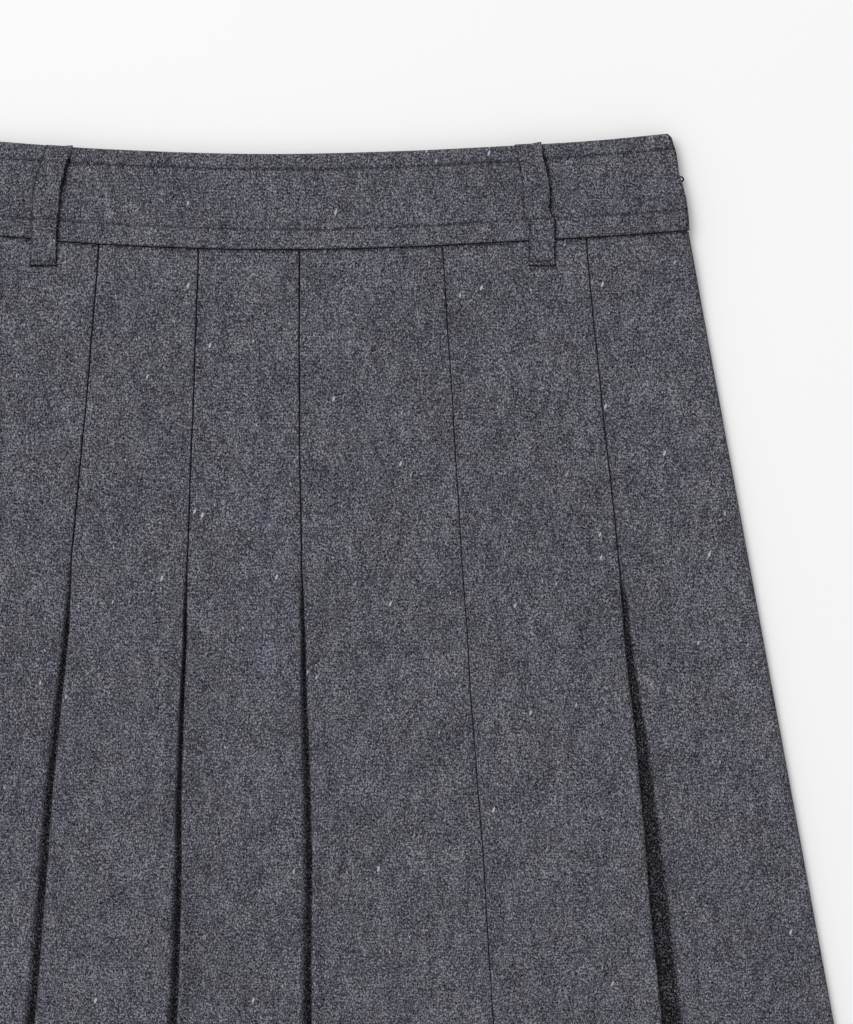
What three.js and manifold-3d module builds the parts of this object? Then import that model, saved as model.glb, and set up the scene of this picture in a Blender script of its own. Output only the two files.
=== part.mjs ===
// A pleated midi skirt in grey wool flannel, pressed and laid flat, front up.
// Millimetres. X runs to the right of the skirt as it lies, Y runs up to the waist, Z is up.
// The origin is under the middle of the skirt, on the plane that its back lies on.
import * as THREE from "three";
import { mergeVertices } from "three/addons/utils/BufferGeometryUtils.js";
import Module from "manifold-3d";

// Driving dimensions of the garment
const SKIRT_LENGTH = 780; // waist edge to hem at the centre front
const BAND_HEIGHT = 42;
const WAIST_HALF_WIDTH = 166.5; // half of the flat waist, at the level of the centre front waist edge
const SIDE_FLARE = 0.1842; // how far each side runs out for each millimetre down
const HEM_RISE = 20; // how much higher the hem is at the sides than at the centre
const RELEASE_LEVEL = 178; // where the stitching of the pleats ends, down from the waist

// Driving dimensions of the cloth
const CLOTH = 1.2; // wall of one layer of flannel
const BAND_CLOTH = 2.4; // two layers with interfacing
const GAP = 0.3; // between pieces that meet
const FOLD_GAP = 0.3; // inside a pressed fold
const NOSE = 0.8; // how far a fold's rounded edge reaches in front of its layers
const NOSE_HOLLOW = 0.1; // how far the inside of that edge bows out
const TOP_PLEAT_DEPTH = 10; // seam allowance above the release, pressed to one side
const HEM_PLEAT_DEPTH = 28; // depth of a pleat at the hem
const STITCHED_VALLEY = 2; // width of the dip beside a stitched seam
const BACK_VALLEY = 3; // width of the dip beside a pleat on the back

// Driving dimensions of the trims
const LOOP_WIDTH = 12;
const LOOP_CLOTH = 1.2;
const LOOP_CHAMFER = 0.35;
const LOOP_ARCH = 2; // how far the middle of a front loop stands off the band
const LOOP_TOP = -0.4; // above the waist edge
const LOOP_STITCH_LEVEL = 32.8; // where the loop is stitched down across its width
const LOOP_END_LEVEL = 53.8;
const BAND_EDGE_ROUND = 0.8;
const BACK_EDGE_DROP = 1.5; // how much lower the back band's edge lies than the front band's
const BAND_END_SHIFT = 0.5; // how far the back band shows past the side line, and the front falls short
const ZIP_TOP = 23;
const ZIP_END = 205;
const ZIP_TAPE_WIDTH = 11;
const ZIP_TAPE = 0.7;
const ZIP_CHAIN = 1.1;
const ZIP_CHAIN_WIDTH = 1.6;
const ZIP_CHAIN_STEP = 0.3; // the width over which the tape thickens to the chain
const ZIP_INSET = 2; // from the side seam to the chain
const EYE_LEVEL = 11;
const EYE_RADIUS = 1.05; // to the middle of the wire
const EYE_WIRE_RADIUS = 0.35;
const EYE_REACH = 0.9; // from the side line to the middle of the ring
const EYE_SHANK = 7;

// Heights worked out from the cloth
const FOLD_STACK = 2 * CLOTH + FOLD_GAP;
const UNDERLAY_DEPTH = FOLD_STACK + GAP;
const BODY_HEIGHT = UNDERLAY_DEPTH + CLOTH + GAP + CLOTH;
const LOOP_ROOM = LOOP_CLOTH + GAP; // the waist is raised by this over the back loops
const BAND_PROUD = 0.7; // how far the band stands above the body
const BAND_LAYERS = BODY_HEIGHT + BAND_PROUD;
const HALF_LENGTH = SKIRT_LENGTH / 2;
const HOLLOW_MIDDLE = BAND_LAYERS / 2;
const RETURN_FOLLOWS = 0.75; // how much of a fold's lift its return takes with it

// How high the waist edge and the band seam rise above their lowest point. Place is a share of the
// half width, from the left side to the right.
const WAIST_LINE = [
  { place: -1.0, edge: 8.6, seam: 9.8 },
  { place: -0.76, edge: 5.0, seam: 6.1 },
  { place: -0.5, edge: 2.05, seam: 2.4 },
  { place: -0.1, edge: 0.0, seam: 0.0 },
  { place: 0.27, edge: 1.3, seam: 1.1 },
  { place: 0.6, edge: 4.0, seam: 4.0 },
  { place: 0.8, edge: 6.1, seam: 5.9 },
  { place: 1.0, edge: 9.3, seam: 8.4 },
];

// The levels at which the seam table gives places, down from the waist
const SEAM_LEVELS = [
  { name: "band", down: BAND_HEIGHT },
  { name: "hip", down: 110 },
  { name: "release", down: RELEASE_LEVEL },
  { name: "thigh", down: 284 },
  { name: "knee", down: 372 },
  { name: "hem", down: SKIRT_LENGTH },
];

// The front seams from left to right: where each lies from the centre front at those levels
const FRONT_SEAM_PLACES = [
  { seam: "z", band: -130.7, hip: -139, release: -149, thigh: -165, knee: -175, hem: -222 },
  { seam: "a", band: -86.9, hip: -92.7, release: -99.2, thigh: -109.2, knee: -115.1, hem: -148.7 },
  { seam: "b", band: -43, hip: -45.5, release: -48, thigh: -51.3, knee: -54.1, hem: -67 },
  { seam: "c", band: 1.3, hip: 1.3, release: 2.2, thigh: 4.2, knee: 4.6, hem: 9.3 },
  { seam: "d", band: 64.2, hip: 68.6, release: 72.7, thigh: 80.1, knee: 86.1, hem: 113.6 },
  { seam: "e", band: 127.6, hip: 134.5, release: 141.9, thigh: 152.2, knee: 160.2, hem: 201.9 },
];

// Which way each fold faces, and below the release how wide the dip beside it gets, how far the fold
// lifts, and over what length it opens. An open seam has its allowances pressed apart and no pleat.
const FRONT_SEAM_FOLDS = [
  { seam: "z", faces: "left", valley: 5, lift: 2, opens: 40 },
  { seam: "a", faces: "left", valley: 5, lift: 2, opens: 40 },
  { seam: "b", faces: "left", valley: 5, lift: 2, opens: 50 },
  { seam: "c", faces: "left", valley: 5, lift: 2, opens: 50 },
  { seam: "d", faces: "open", valley: 0, lift: 0, opens: 1 },
  { seam: "e", faces: "right", valley: 11, lift: 3.4, opens: 200 },
];
const FRONT_SEAMS = FRONT_SEAM_PLACES.map((places, i) => ({ ...places, ...FRONT_SEAM_FOLDS[i] }));

// The waist lies raised over the back loops down to one level, and the rest lies flat from the next
const RAISED_UNTIL = 57;
const DOWN_AT = 80;

// The levels of the rows of points down each panel and each band
const BODY_ROWS = [
  BAND_HEIGHT + GAP,
  RAISED_UNTIL,
  66,
  DOWN_AT,
  115,
  RELEASE_LEVEL,
  196,
  218,
  272,
  330,
  410,
  510,
  640,
  SKIRT_LENGTH,
];
const BAND_COLUMNS = 14;
const BAND_ROWS = [
  { level: 0, round: BAND_EDGE_ROUND },
  { level: BAND_EDGE_ROUND, round: 0 },
  { level: 14, round: 0 },
  { level: 28, round: 0 },
  { level: BAND_HEIGHT - BAND_EDGE_ROUND, round: 0 },
  { level: BAND_HEIGHT, round: BAND_EDGE_ROUND },
];

// The middle line of each belt loop down the band: how far out it lies on either side
const LOOP_LINE = [
  { level: LOOP_TOP, left: -103.6, right: 101.9 },
  { level: 10, left: -106.7, right: 104.1 },
  { level: 20, left: -109, right: 105.8 },
  { level: LOOP_STITCH_LEVEL, left: -110, right: 107.4 },
  { level: BAND_HEIGHT, left: -110.5, right: 108.2 },
  { level: LOOP_END_LEVEL, left: -111, right: 108.2 },
];

// The levels of the rows of points down each belt loop and down the zip
const LOOP_STEP = 3; // how long the loop takes to step down below the band
const LOOP_ROWS = [
  LOOP_TOP,
  3.5,
  8,
  12.5,
  17,
  21.5,
  26,
  LOOP_STITCH_LEVEL,
  BAND_HEIGHT,
  BAND_HEIGHT + LOOP_STEP,
  LOOP_END_LEVEL,
];
const ZIP_ROWS = [ZIP_TOP, 40, RAISED_UNTIL, 66, DOWN_AT, 115, 160, ZIP_END];

const COLOURS = {
  flannel: "#56575d",
  band: "#55565b",
  zip: "#2c2d31",
  wire: "#1c1c1f",
};

/** A smooth curve through a table's rows: the value of one column at a place in another. */
function readTable(rows, along, column, place) {
  const last = rows.length - 1;
  const slopeAt = (i) => {
    const before = rows[Math.max(i - 1, 0)];
    const after = rows[Math.min(i + 1, last)];
    return (after[column] - before[column]) / (after[along] - before[along]);
  };
  let i = 0;
  while (i < last - 1 && place > rows[i + 1][along]) {
    i += 1;
  }
  const from = rows[i];
  const to = rows[i + 1];
  const span = to[along] - from[along];
  const t = THREE.MathUtils.clamp((place - from[along]) / span, 0, 1);
  const rise = t * t * (3 - 2 * t);
  const start = t * (1 - t) * (1 - t) * span * slopeAt(i);
  const end = t * t * (t - 1) * span * slopeAt(i + 1);
  return from[column] + (to[column] - from[column]) * rise + start + end;
}

/** How far a point is above its level at the centre front, because the waist and the hem are curved. */
function riseAt(place, level) {
  const side = THREE.MathUtils.clamp(place, -1, 1);
  const seamRise = readTable(WAIST_LINE, "place", "seam", side);
  if (level <= BAND_HEIGHT) {
    const edgeRise = readTable(WAIST_LINE, "place", "edge", side);
    return THREE.MathUtils.lerp(edgeRise, seamRise, Math.max(level, 0) / BAND_HEIGHT);
  }
  const down = (level - BAND_HEIGHT) / (SKIRT_LENGTH - BAND_HEIGHT);
  return THREE.MathUtils.lerp(seamRise, HEM_RISE * side * side, down);
}

/** Where the side line lies at a level, on the left (-1) or on the right (1). */
function sideAt(sign, level) {
  return sign * (WAIST_HALF_WIDTH + SIDE_FLARE * (level - riseAt(sign, level)));
}

/** A point's share of the half width at its level. */
function placeOf(x, level) {
  return x / Math.abs(sideAt(Math.sign(x) || 1, level));
}

/** Where a seam lies at a level, followed along the skirt's curved levels. */
function seamAt(seam, level) {
  const rows = SEAM_LEVELS.map(({ name, down }) => ({ down, x: seam[name] }));
  const first = readTable(rows, "down", "x", level);
  return readTable(rows, "down", "x", level - riseAt(placeOf(first, level), level));
}

/** How high the lower side of the skirt lies at a level. */
function baseAt(level) {
  return LOOP_ROOM * (1 - THREE.MathUtils.smoothstep(level, RAISED_UNTIL, DOWN_AT));
}

/** Puts a point of the front on top, at a depth below the front's outer face. */
const FRONT = {
  height: (level, depth, layers) => baseAt(level) + layers - depth,
  facesDown: false,
};

/** Puts a point of the back underneath, at a depth above the back's outer face. */
const BACK = {
  height: (level, depth) => baseAt(level) + depth,
  facesDown: true,
};

/** A point of the skirt, from its place across, its level, its depth and the layer it belongs to. */
function pointAt(x, level, depth, layer, layers) {
  const y = HALF_LENGTH - level + riseAt(placeOf(x, level), level);
  return new THREE.Vector3(x, y, layer.height(level, depth, layers));
}

/**
 * A closed wall between two grids of points, rows down and columns to the right, facing up or down.
 * Each four-sided face is split along its higher diagonal, so that layers on each other bend alike.
 */
function wallGeometry(outer, inner, facesDown) {
  const rows = outer.length;
  const columns = outer[0].length;
  const points = [...outer.flat(), ...inner.flat()];
  const at = (side, row, column) => (side * rows + row) * columns + column;
  const triangles = [];
  const quad = (a, b, c, d) => {
    const alongAC = points[a].z + points[c].z >= points[b].z + points[d].z;
    const halves = alongAC ? [a, b, c, a, c, d] : [a, b, d, b, c, d];
    triangles.push(...(facesDown ? halves.reverse() : halves));
  };
  for (let row = 0; row < rows - 1; row += 1) {
    for (let column = 0; column < columns - 1; column += 1) {
      const next = column + 1;
      quad(at(0, row, column), at(0, row + 1, column), at(0, row + 1, next), at(0, row, next));
      quad(at(1, row, column), at(1, row, next), at(1, row + 1, next), at(1, row + 1, column));
    }
    const end = columns - 1;
    quad(at(0, row, 0), at(1, row, 0), at(1, row + 1, 0), at(0, row + 1, 0));
    quad(at(0, row, end), at(0, row + 1, end), at(1, row + 1, end), at(1, row, end));
  }
  const bottom = rows - 1;
  for (let column = 0; column < columns - 1; column += 1) {
    const next = column + 1;
    quad(at(0, 0, column), at(0, 0, next), at(1, 0, next), at(1, 0, column));
    quad(at(0, bottom, column), at(1, bottom, column), at(1, bottom, next), at(0, bottom, next));
  }
  const geometry = new THREE.BufferGeometry().setFromPoints(points);
  geometry.setIndex(triangles);
  geometry.computeVertexNormals();
  return geometry;
}

/**
 * A pressed fold with its return under it, open by as much as the return lags behind the fold's lift.
 * Each point pairs the outer face with the inner face as [distance in from the seam, depth].
 */
function foldEdge({ pleatDepth, lift }) {
  const nose = GAP / 2 + NOSE;
  const hollow = GAP / 2 + CLOTH;
  const opened = FOLD_GAP + (1 - RETURN_FOLLOWS) * lift;
  const middle = CLOTH + opened / 2;
  const thirds = [1, 2, 3].map((k) => ({ in: nose + (pleatDepth * k) / 3, up: lift * (1 - k / 3) ** 2 }));
  const returned = thirds.map(({ in: along, up }) => ({
    outer: [along, FOLD_STACK - RETURN_FOLLOWS * up],
    inner: [along, CLOTH + FOLD_GAP - RETURN_FOLLOWS * up],
  }));
  const rounded = [180, 120, 60, 0].map((degrees) => {
    const turn = THREE.MathUtils.degToRad(degrees);
    return {
      outer: [nose - NOSE * Math.sin(turn), middle - middle * Math.cos(turn) - lift],
      inner: [hollow - NOSE_HOLLOW * Math.sin(turn), middle - (opened / 2) * Math.cos(turn) - lift],
    };
  });
  const top = thirds.map(({ in: along, up }) => ({ outer: [along, -up], inner: [along, CLOTH - up] }));
  return [...returned.reverse(), ...rounded, ...top];
}

/** The edge that dips and runs on under its neighbour's fold. */
function underEdge({ pleatDepth, valley }) {
  const shift = CLOTH * Math.tan(Math.atan2(UNDERLAY_DEPTH, valley) / 2);
  const end = -(GAP / 2 + NOSE + pleatDepth);
  const underlay = [{ outer: [end, UNDERLAY_DEPTH], inner: [end, UNDERLAY_DEPTH + CLOTH] }];
  const dip = [1, 0.7, 0.3, 0].map((share) => {
    const along = GAP / 2 + (1 - share) * valley;
    const depth = UNDERLAY_DEPTH * share * share * (3 - 2 * share);
    return { outer: [along, depth], inner: [along + shift, depth + CLOTH] };
  });
  return [...underlay, ...dip];
}

/** The side of the skirt, which rounds down to meet the other layer at the side seam. */
function sideEdge({ cloth, layers }) {
  const radius = (layers - GAP) / 2;
  return [0, 30, 60, 90].map((degrees) => {
    const turn = THREE.MathUtils.degToRad(degrees);
    const towards = [Math.cos(turn), Math.sin(turn)];
    return {
      outer: towards.map((way) => radius - radius * way),
      inner: towards.map((way) => radius - (radius - cloth) * way),
    };
  });
}

/** The turned-in end of the waistband at its opening. */
function bandEnd({ cloth }) {
  const round = BAND_EDGE_ROUND;
  return [
    { outer: [0, round], inner: [0, cloth - round] },
    { outer: [round, 0], inner: [round, cloth] },
  ];
}

/** What a seam is like at a level: its place, the depth of its pleat, its dip and its lift. */
function seamState(seam, level) {
  const down = THREE.MathUtils.clamp((level - RELEASE_LEVEL) / (SKIRT_LENGTH - RELEASE_LEVEL), 0, 1);
  const opened = THREE.MathUtils.clamp((level - RELEASE_LEVEL) / seam.opens, 0, 1);
  const full = seam.faces === "open" ? TOP_PLEAT_DEPTH : HEM_PLEAT_DEPTH;
  return {
    x: seamAt(seam, level),
    pleatDepth: THREE.MathUtils.lerp(TOP_PLEAT_DEPTH, full, down),
    valley: THREE.MathUtils.lerp(STITCHED_VALLEY, Math.max(seam.valley, STITCHED_VALLEY), opened),
    lift: seam.lift * opened,
  };
}

/** The points of one edge of a panel, moved to the seam and turned to face left (-1) or right (1). */
function edgePoints(points, x, sign) {
  const moved = points.map(({ outer, inner }) => ({
    outer: [x - sign * outer[0], outer[1]],
    inner: [x - sign * inner[0], inner[1]],
  }));
  return sign < 0 ? moved : moved.reverse();
}

/** The edge of a body panel at a seam. A missing seam is the side of the skirt. */
function panelEdge(seam, sign, level) {
  if (!seam) {
    return edgePoints(sideEdge({ cloth: CLOTH, layers: BODY_HEIGHT }), sideAt(sign, level), sign);
  }
  const state = seamState(seam, level);
  const goesUnder = seam.faces === (sign < 0 ? "right" : "left");
  return edgePoints(goesUnder ? underEdge(state) : foldEdge(state), state.x, sign);
}

/** Points spaced evenly across the plain stretch between two edges. */
function plainStretch(left, right, count) {
  const from = left[left.length - 1];
  const to = right[0];
  return Array.from({ length: count }, (_, i) => {
    const share = (i + 1) / (count + 1);
    const between = (a, b) => a.map((value, k) => THREE.MathUtils.lerp(value, b[k], share));
    return { outer: between(from.outer, to.outer), inner: between(from.inner, to.inner) };
  });
}

/** A body panel between two seams, with its folds, from the waistband to the hem. */
function panelGeometry(leftSeam, rightSeam, layer) {
  const outer = [];
  const inner = [];
  for (const level of BODY_ROWS) {
    const left = panelEdge(leftSeam, -1, level);
    const right = panelEdge(rightSeam, 1, level);
    const section = [...left, ...plainStretch(left, right, 1), ...right];
    const place = ([x, depth]) => pointAt(x, level, depth, layer, BODY_HEIGHT);
    outer.push(section.map((p) => place(p.outer)));
    inner.push(section.map((p) => place(p.inner)));
  }
  return wallGeometry(outer, inner, layer.facesDown);
}

/** A point part of the way from a wall's outer face to its inner face. */
function withinWall({ outer, inner }, share) {
  return outer.map((value, i) => THREE.MathUtils.lerp(value, inner[i], share));
}

/** One half of the waistband: its left end rounds into the side seam, its right end is at the opening. */
function bandGeometry(layer, edgeDrop, endShift) {
  const outer = [];
  const inner = [];
  for (const row of BAND_ROWS) {
    const level = row.level + edgeDrop * (1 - row.level / BAND_HEIGHT);
    const rounded = sideEdge({ cloth: BAND_CLOTH, layers: BAND_LAYERS });
    const left = edgePoints(rounded, sideAt(-1, level), -1);
    const right = edgePoints(bandEnd({ cloth: BAND_CLOTH }), sideAt(1, level) + endShift, 1);
    const section = [...left, ...plainStretch(left, right, BAND_COLUMNS), ...right];
    const share = row.round / BAND_CLOTH;
    const place = ([x, depth]) => pointAt(x, level, depth, layer, BAND_LAYERS);
    outer.push(section.map((pair) => place(withinWall(pair, share))));
    inner.push(section.map((pair) => place(withinWall(pair, 1 - share))));
  }
  return wallGeometry(outer, inner, layer.facesDown);
}

/** How high a front loop's underside is: arched above its stitching, stepped down below the band. */
function loopHeight(level) {
  const onBand = LOOP_ROOM + BAND_LAYERS + GAP;
  const onBody = LOOP_ROOM + BODY_HEIGHT + GAP;
  const arched = THREE.MathUtils.clamp((level - LOOP_TOP) / (LOOP_STITCH_LEVEL - LOOP_TOP), 0, 1);
  const stepped = THREE.MathUtils.smoothstep(level, BAND_HEIGHT, BAND_HEIGHT + LOOP_STEP);
  return THREE.MathUtils.lerp(onBand, onBody, stepped) + LOOP_ARCH * Math.sin(Math.PI * arched) ** 2;
}

/** A belt loop: a flat strip with softened edges down the band, on its stitching at both ends. */
function loopGeometry(side, heightAt, facesDown) {
  const half = LOOP_WIDTH / 2;
  const across = [
    { x: -half, round: LOOP_CHAMFER },
    { x: -half + LOOP_CHAMFER, round: 0 },
    { x: half - LOOP_CHAMFER, round: 0 },
    { x: half, round: LOOP_CHAMFER },
  ];
  const outer = [];
  const inner = [];
  for (const level of LOOP_ROWS) {
    const middle = readTable(LOOP_LINE, "level", side, level);
    const y = HALF_LENGTH - level + riseAt(placeOf(middle, level), level);
    const low = heightAt(level);
    const point = (x, z) => new THREE.Vector3(middle + x, y, z);
    const upper = across.map((p) => point(p.x, low + LOOP_CLOTH - p.round));
    const lower = across.map((p) => point(p.x, low + p.round));
    outer.push(facesDown ? lower : upper);
    inner.push(facesDown ? upper : lower);
  }
  return wallGeometry(outer, inner, facesDown);
}

/** The closed zip inside the right-hand side seam: a tape with its chain along the seam. */
function zipGeometry() {
  const across = [
    { inset: ZIP_INSET + ZIP_TAPE_WIDTH, thick: ZIP_TAPE },
    { inset: ZIP_INSET + ZIP_CHAIN_WIDTH + ZIP_CHAIN_STEP, thick: ZIP_TAPE },
    { inset: ZIP_INSET + ZIP_CHAIN_WIDTH, thick: ZIP_CHAIN },
    { inset: ZIP_INSET, thick: ZIP_CHAIN },
  ];
  const outer = [];
  const inner = [];
  for (const level of ZIP_ROWS) {
    const middle = baseAt(level) + HOLLOW_MIDDLE;
    const point = (p, way) => {
      const x = sideAt(1, level) - p.inset;
      const y = HALF_LENGTH - level + riseAt(placeOf(x, level), level);
      return new THREE.Vector3(x, y, middle + (way * p.thick) / 2);
    };
    outer.push(across.map((p) => point(p, 1)));
    inner.push(across.map((p) => point(p, -1)));
  }
  return wallGeometry(outer, inner, false);
}

/** Turns a closed geometry into a solid that can be joined. */
function solidFrom(geometry) {
  const bare = geometry.clone();
  bare.deleteAttribute("normal");
  bare.deleteAttribute("uv");
  const merged = mergeVertices(bare, 1e-4);
  return new wasm.Manifold(
    new wasm.Mesh({
      numProp: 3,
      vertProperties: new Float32Array(merged.attributes.position.array),
      triVerts: new Uint32Array(merged.index.array),
    }),
  );
}

/** Turns a joined solid back into a geometry. */
function geometryFrom(solid) {
  const mesh = solid.getMesh();
  const geometry = new THREE.BufferGeometry();
  geometry.setAttribute("position", new THREE.BufferAttribute(new Float32Array(mesh.vertProperties), 3));
  geometry.setIndex(Array.from(mesh.triVerts));
  geometry.computeVertexNormals();
  return geometry;
}

/** The wire eye: a ring that shows past the band, a straight shank, and a ring sewn inside the band. */
function eyeGeometry() {
  const ring = () => new THREE.TorusGeometry(EYE_RADIUS, EYE_WIRE_RADIUS, 8, 16);
  const shown = ring();
  const sewn = ring().translate(-EYE_SHANK, 0, 0);
  const shankLength = EYE_SHANK - 2 * EYE_RADIUS;
  const shank = new THREE.CylinderGeometry(EYE_WIRE_RADIUS, EYE_WIRE_RADIUS, shankLength, 8)
    .rotateZ(Math.PI / 2)
    .translate(-EYE_SHANK / 2, 0, 0);
  return geometryFrom(solidFrom(shown).add(solidFrom(shank)).add(solidFrom(sewn)));
}

/** A seam of the back, halfway between two of the front, so that the pleats of both lie side by side. */
function seamBetween(first, second) {
  const halfway = ({ name }) => [name, (first[name] + second[name]) / 2];
  const places = Object.fromEntries(SEAM_LEVELS.map(halfway));
  const faces = second.faces === "right" ? "right" : "left";
  return { seam: first.seam + second.seam, faces, valley: BACK_VALLEY, lift: 0, opens: 40, ...places };
}

/** A material of its own for each piece. */
function finish(name, color, roughness, metalness) {
  return new THREE.MeshStandardMaterial({ name, color, roughness, metalness });
}

const wasm = await Module();
wasm.setup();

const skirt = new THREE.Group();

/** Adds one named piece. */
function addPiece(name, geometry, material) {
  const mesh = new THREE.Mesh(geometry, material);
  mesh.name = name;
  skirt.add(mesh);
  return mesh;
}

/** Adds a row of body panels, from the left side through each seam to the right side. */
function addPanels(prefix, seams, layer) {
  const edges = [null, ...seams, null];
  for (let i = 0; i < edges.length - 1; i += 1) {
    const name = `${prefix}_${i + 1}`;
    addPiece(name, panelGeometry(edges[i], edges[i + 1], layer), finish(name, COLOURS.flannel, 0.95, 0));
  }
}

const BACK_SEAMS = FRONT_SEAMS.slice(1).map((seam, i) => seamBetween(FRONT_SEAMS[i], seam));
addPanels("front_panel", FRONT_SEAMS, FRONT);
addPanels("back_panel", BACK_SEAMS, BACK);

// The back band's edge lies a little lower and shows a little past the front band's end
const frontBand = bandGeometry(FRONT, 0, -BAND_END_SHIFT);
addPiece("front_waistband", frontBand, finish("front_waistband", COLOURS.band, 0.95, 0));
const backBand = bandGeometry(BACK, BACK_EDGE_DROP, BAND_END_SHIFT);
addPiece("back_waistband", backBand, finish("back_waistband", COLOURS.band, 0.95, 0));

for (const side of ["left", "right"]) {
  const front = `front_belt_loop_${side}`;
  const back = `back_belt_loop_${side}`;
  addPiece(front, loopGeometry(side, loopHeight, false), finish(front, COLOURS.band, 0.95, 0));
  addPiece(back, loopGeometry(side, () => 0, true), finish(back, COLOURS.band, 0.95, 0));
}

addPiece("side_zip", zipGeometry(), finish("side_zip", COLOURS.zip, 0.6, 0));

const eye = addPiece("waist_eye", eyeGeometry(), finish("waist_eye", COLOURS.wire, 0.35, 0.9));
eye.position.set(
  sideAt(1, EYE_LEVEL + riseAt(1, EYE_LEVEL)) + EYE_REACH,
  HALF_LENGTH - EYE_LEVEL,
  LOOP_ROOM + HOLLOW_MIDDLE,
);

export default skirt;
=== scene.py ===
"""Dresses the pleated grey flannel skirt: fine cloth shells, sewing thread, wire, zip and finishes."""

import logging
import math
from dataclasses import dataclass, field
from enum import Enum

import bmesh
import bpy
import numpy as np
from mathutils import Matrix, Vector


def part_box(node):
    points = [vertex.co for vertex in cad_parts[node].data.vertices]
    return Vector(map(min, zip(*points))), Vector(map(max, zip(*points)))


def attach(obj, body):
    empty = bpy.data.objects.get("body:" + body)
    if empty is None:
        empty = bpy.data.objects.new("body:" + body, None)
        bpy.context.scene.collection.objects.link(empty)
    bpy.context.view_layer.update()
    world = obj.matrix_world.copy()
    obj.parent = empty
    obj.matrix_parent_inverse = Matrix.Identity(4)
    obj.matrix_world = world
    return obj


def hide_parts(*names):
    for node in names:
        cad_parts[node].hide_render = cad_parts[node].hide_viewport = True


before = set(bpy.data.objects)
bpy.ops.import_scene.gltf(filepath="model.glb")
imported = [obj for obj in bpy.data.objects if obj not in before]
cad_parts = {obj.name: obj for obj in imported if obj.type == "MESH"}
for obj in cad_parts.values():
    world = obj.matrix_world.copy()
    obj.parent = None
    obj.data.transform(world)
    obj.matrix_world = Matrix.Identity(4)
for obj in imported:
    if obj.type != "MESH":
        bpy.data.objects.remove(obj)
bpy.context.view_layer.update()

MM = 0.001  # the shapes are worked out in millimetres and the meshes are in metres
BODY = "root"
log = logging.getLogger("skirt")


class Layer(Enum):
    """Which layer of the laid skirt a piece belongs to."""

    FRONT = "front"
    BACK = "back"


class Facing(Enum):
    """Which way the fold at a seam faces. An open seam has its allowances pressed apart."""

    LEFT = "left"
    RIGHT = "right"
    OPEN = "open"


def smooth(value: np.ndarray) -> np.ndarray:
    """Eases a share from 0 to 1, flat at both ends.

    Args:
        value: Shares, held between 0 and 1 first.

    Returns:
        Three times the square less twice the cube.
    """
    held = np.clip(value, 0.0, 1.0)
    return held * held * (3.0 - 2.0 * held)


def bump(distance: np.ndarray, width: float) -> np.ndarray:
    """A bell curve.

    Args:
        distance: How far each point is from the middle of the bell.
        width: The distance at which the bell has fallen to about a third.

    Returns:
        The exponential of minus the square of distance over width.
    """
    return np.exp(-((distance / width) ** 2))


@dataclass(frozen=True)
class Curve:
    """A smooth curve through a few points, whose slope at each comes from its neighbours."""

    places: tuple[float, ...]
    values: tuple[float, ...]

    def __call__(self, where: np.ndarray) -> np.ndarray:
        """Reads the curve.

        Args:
            where: Places along the curve.

        Returns:
            The cubic through the two nearest points with their slopes, for each place.
        """
        places, values = np.array(self.places), np.array(self.values)
        index = np.arange(len(places))
        before, after = np.maximum(index - 1, 0), np.minimum(index + 1, len(places) - 1)
        slopes = (values[after] - values[before]) / (places[after] - places[before])
        at = np.clip(np.searchsorted(places, where) - 1, 0, len(places) - 2)
        span = places[at + 1] - places[at]
        t = np.clip((where - places[at]) / span, 0.0, 1.0)
        bent = span * (t * (1 - t) ** 2 * slopes[at] + t * t * (t - 1) * slopes[at + 1])
        return values[at] + (values[at + 1] - values[at]) * smooth(t) + bent


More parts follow.
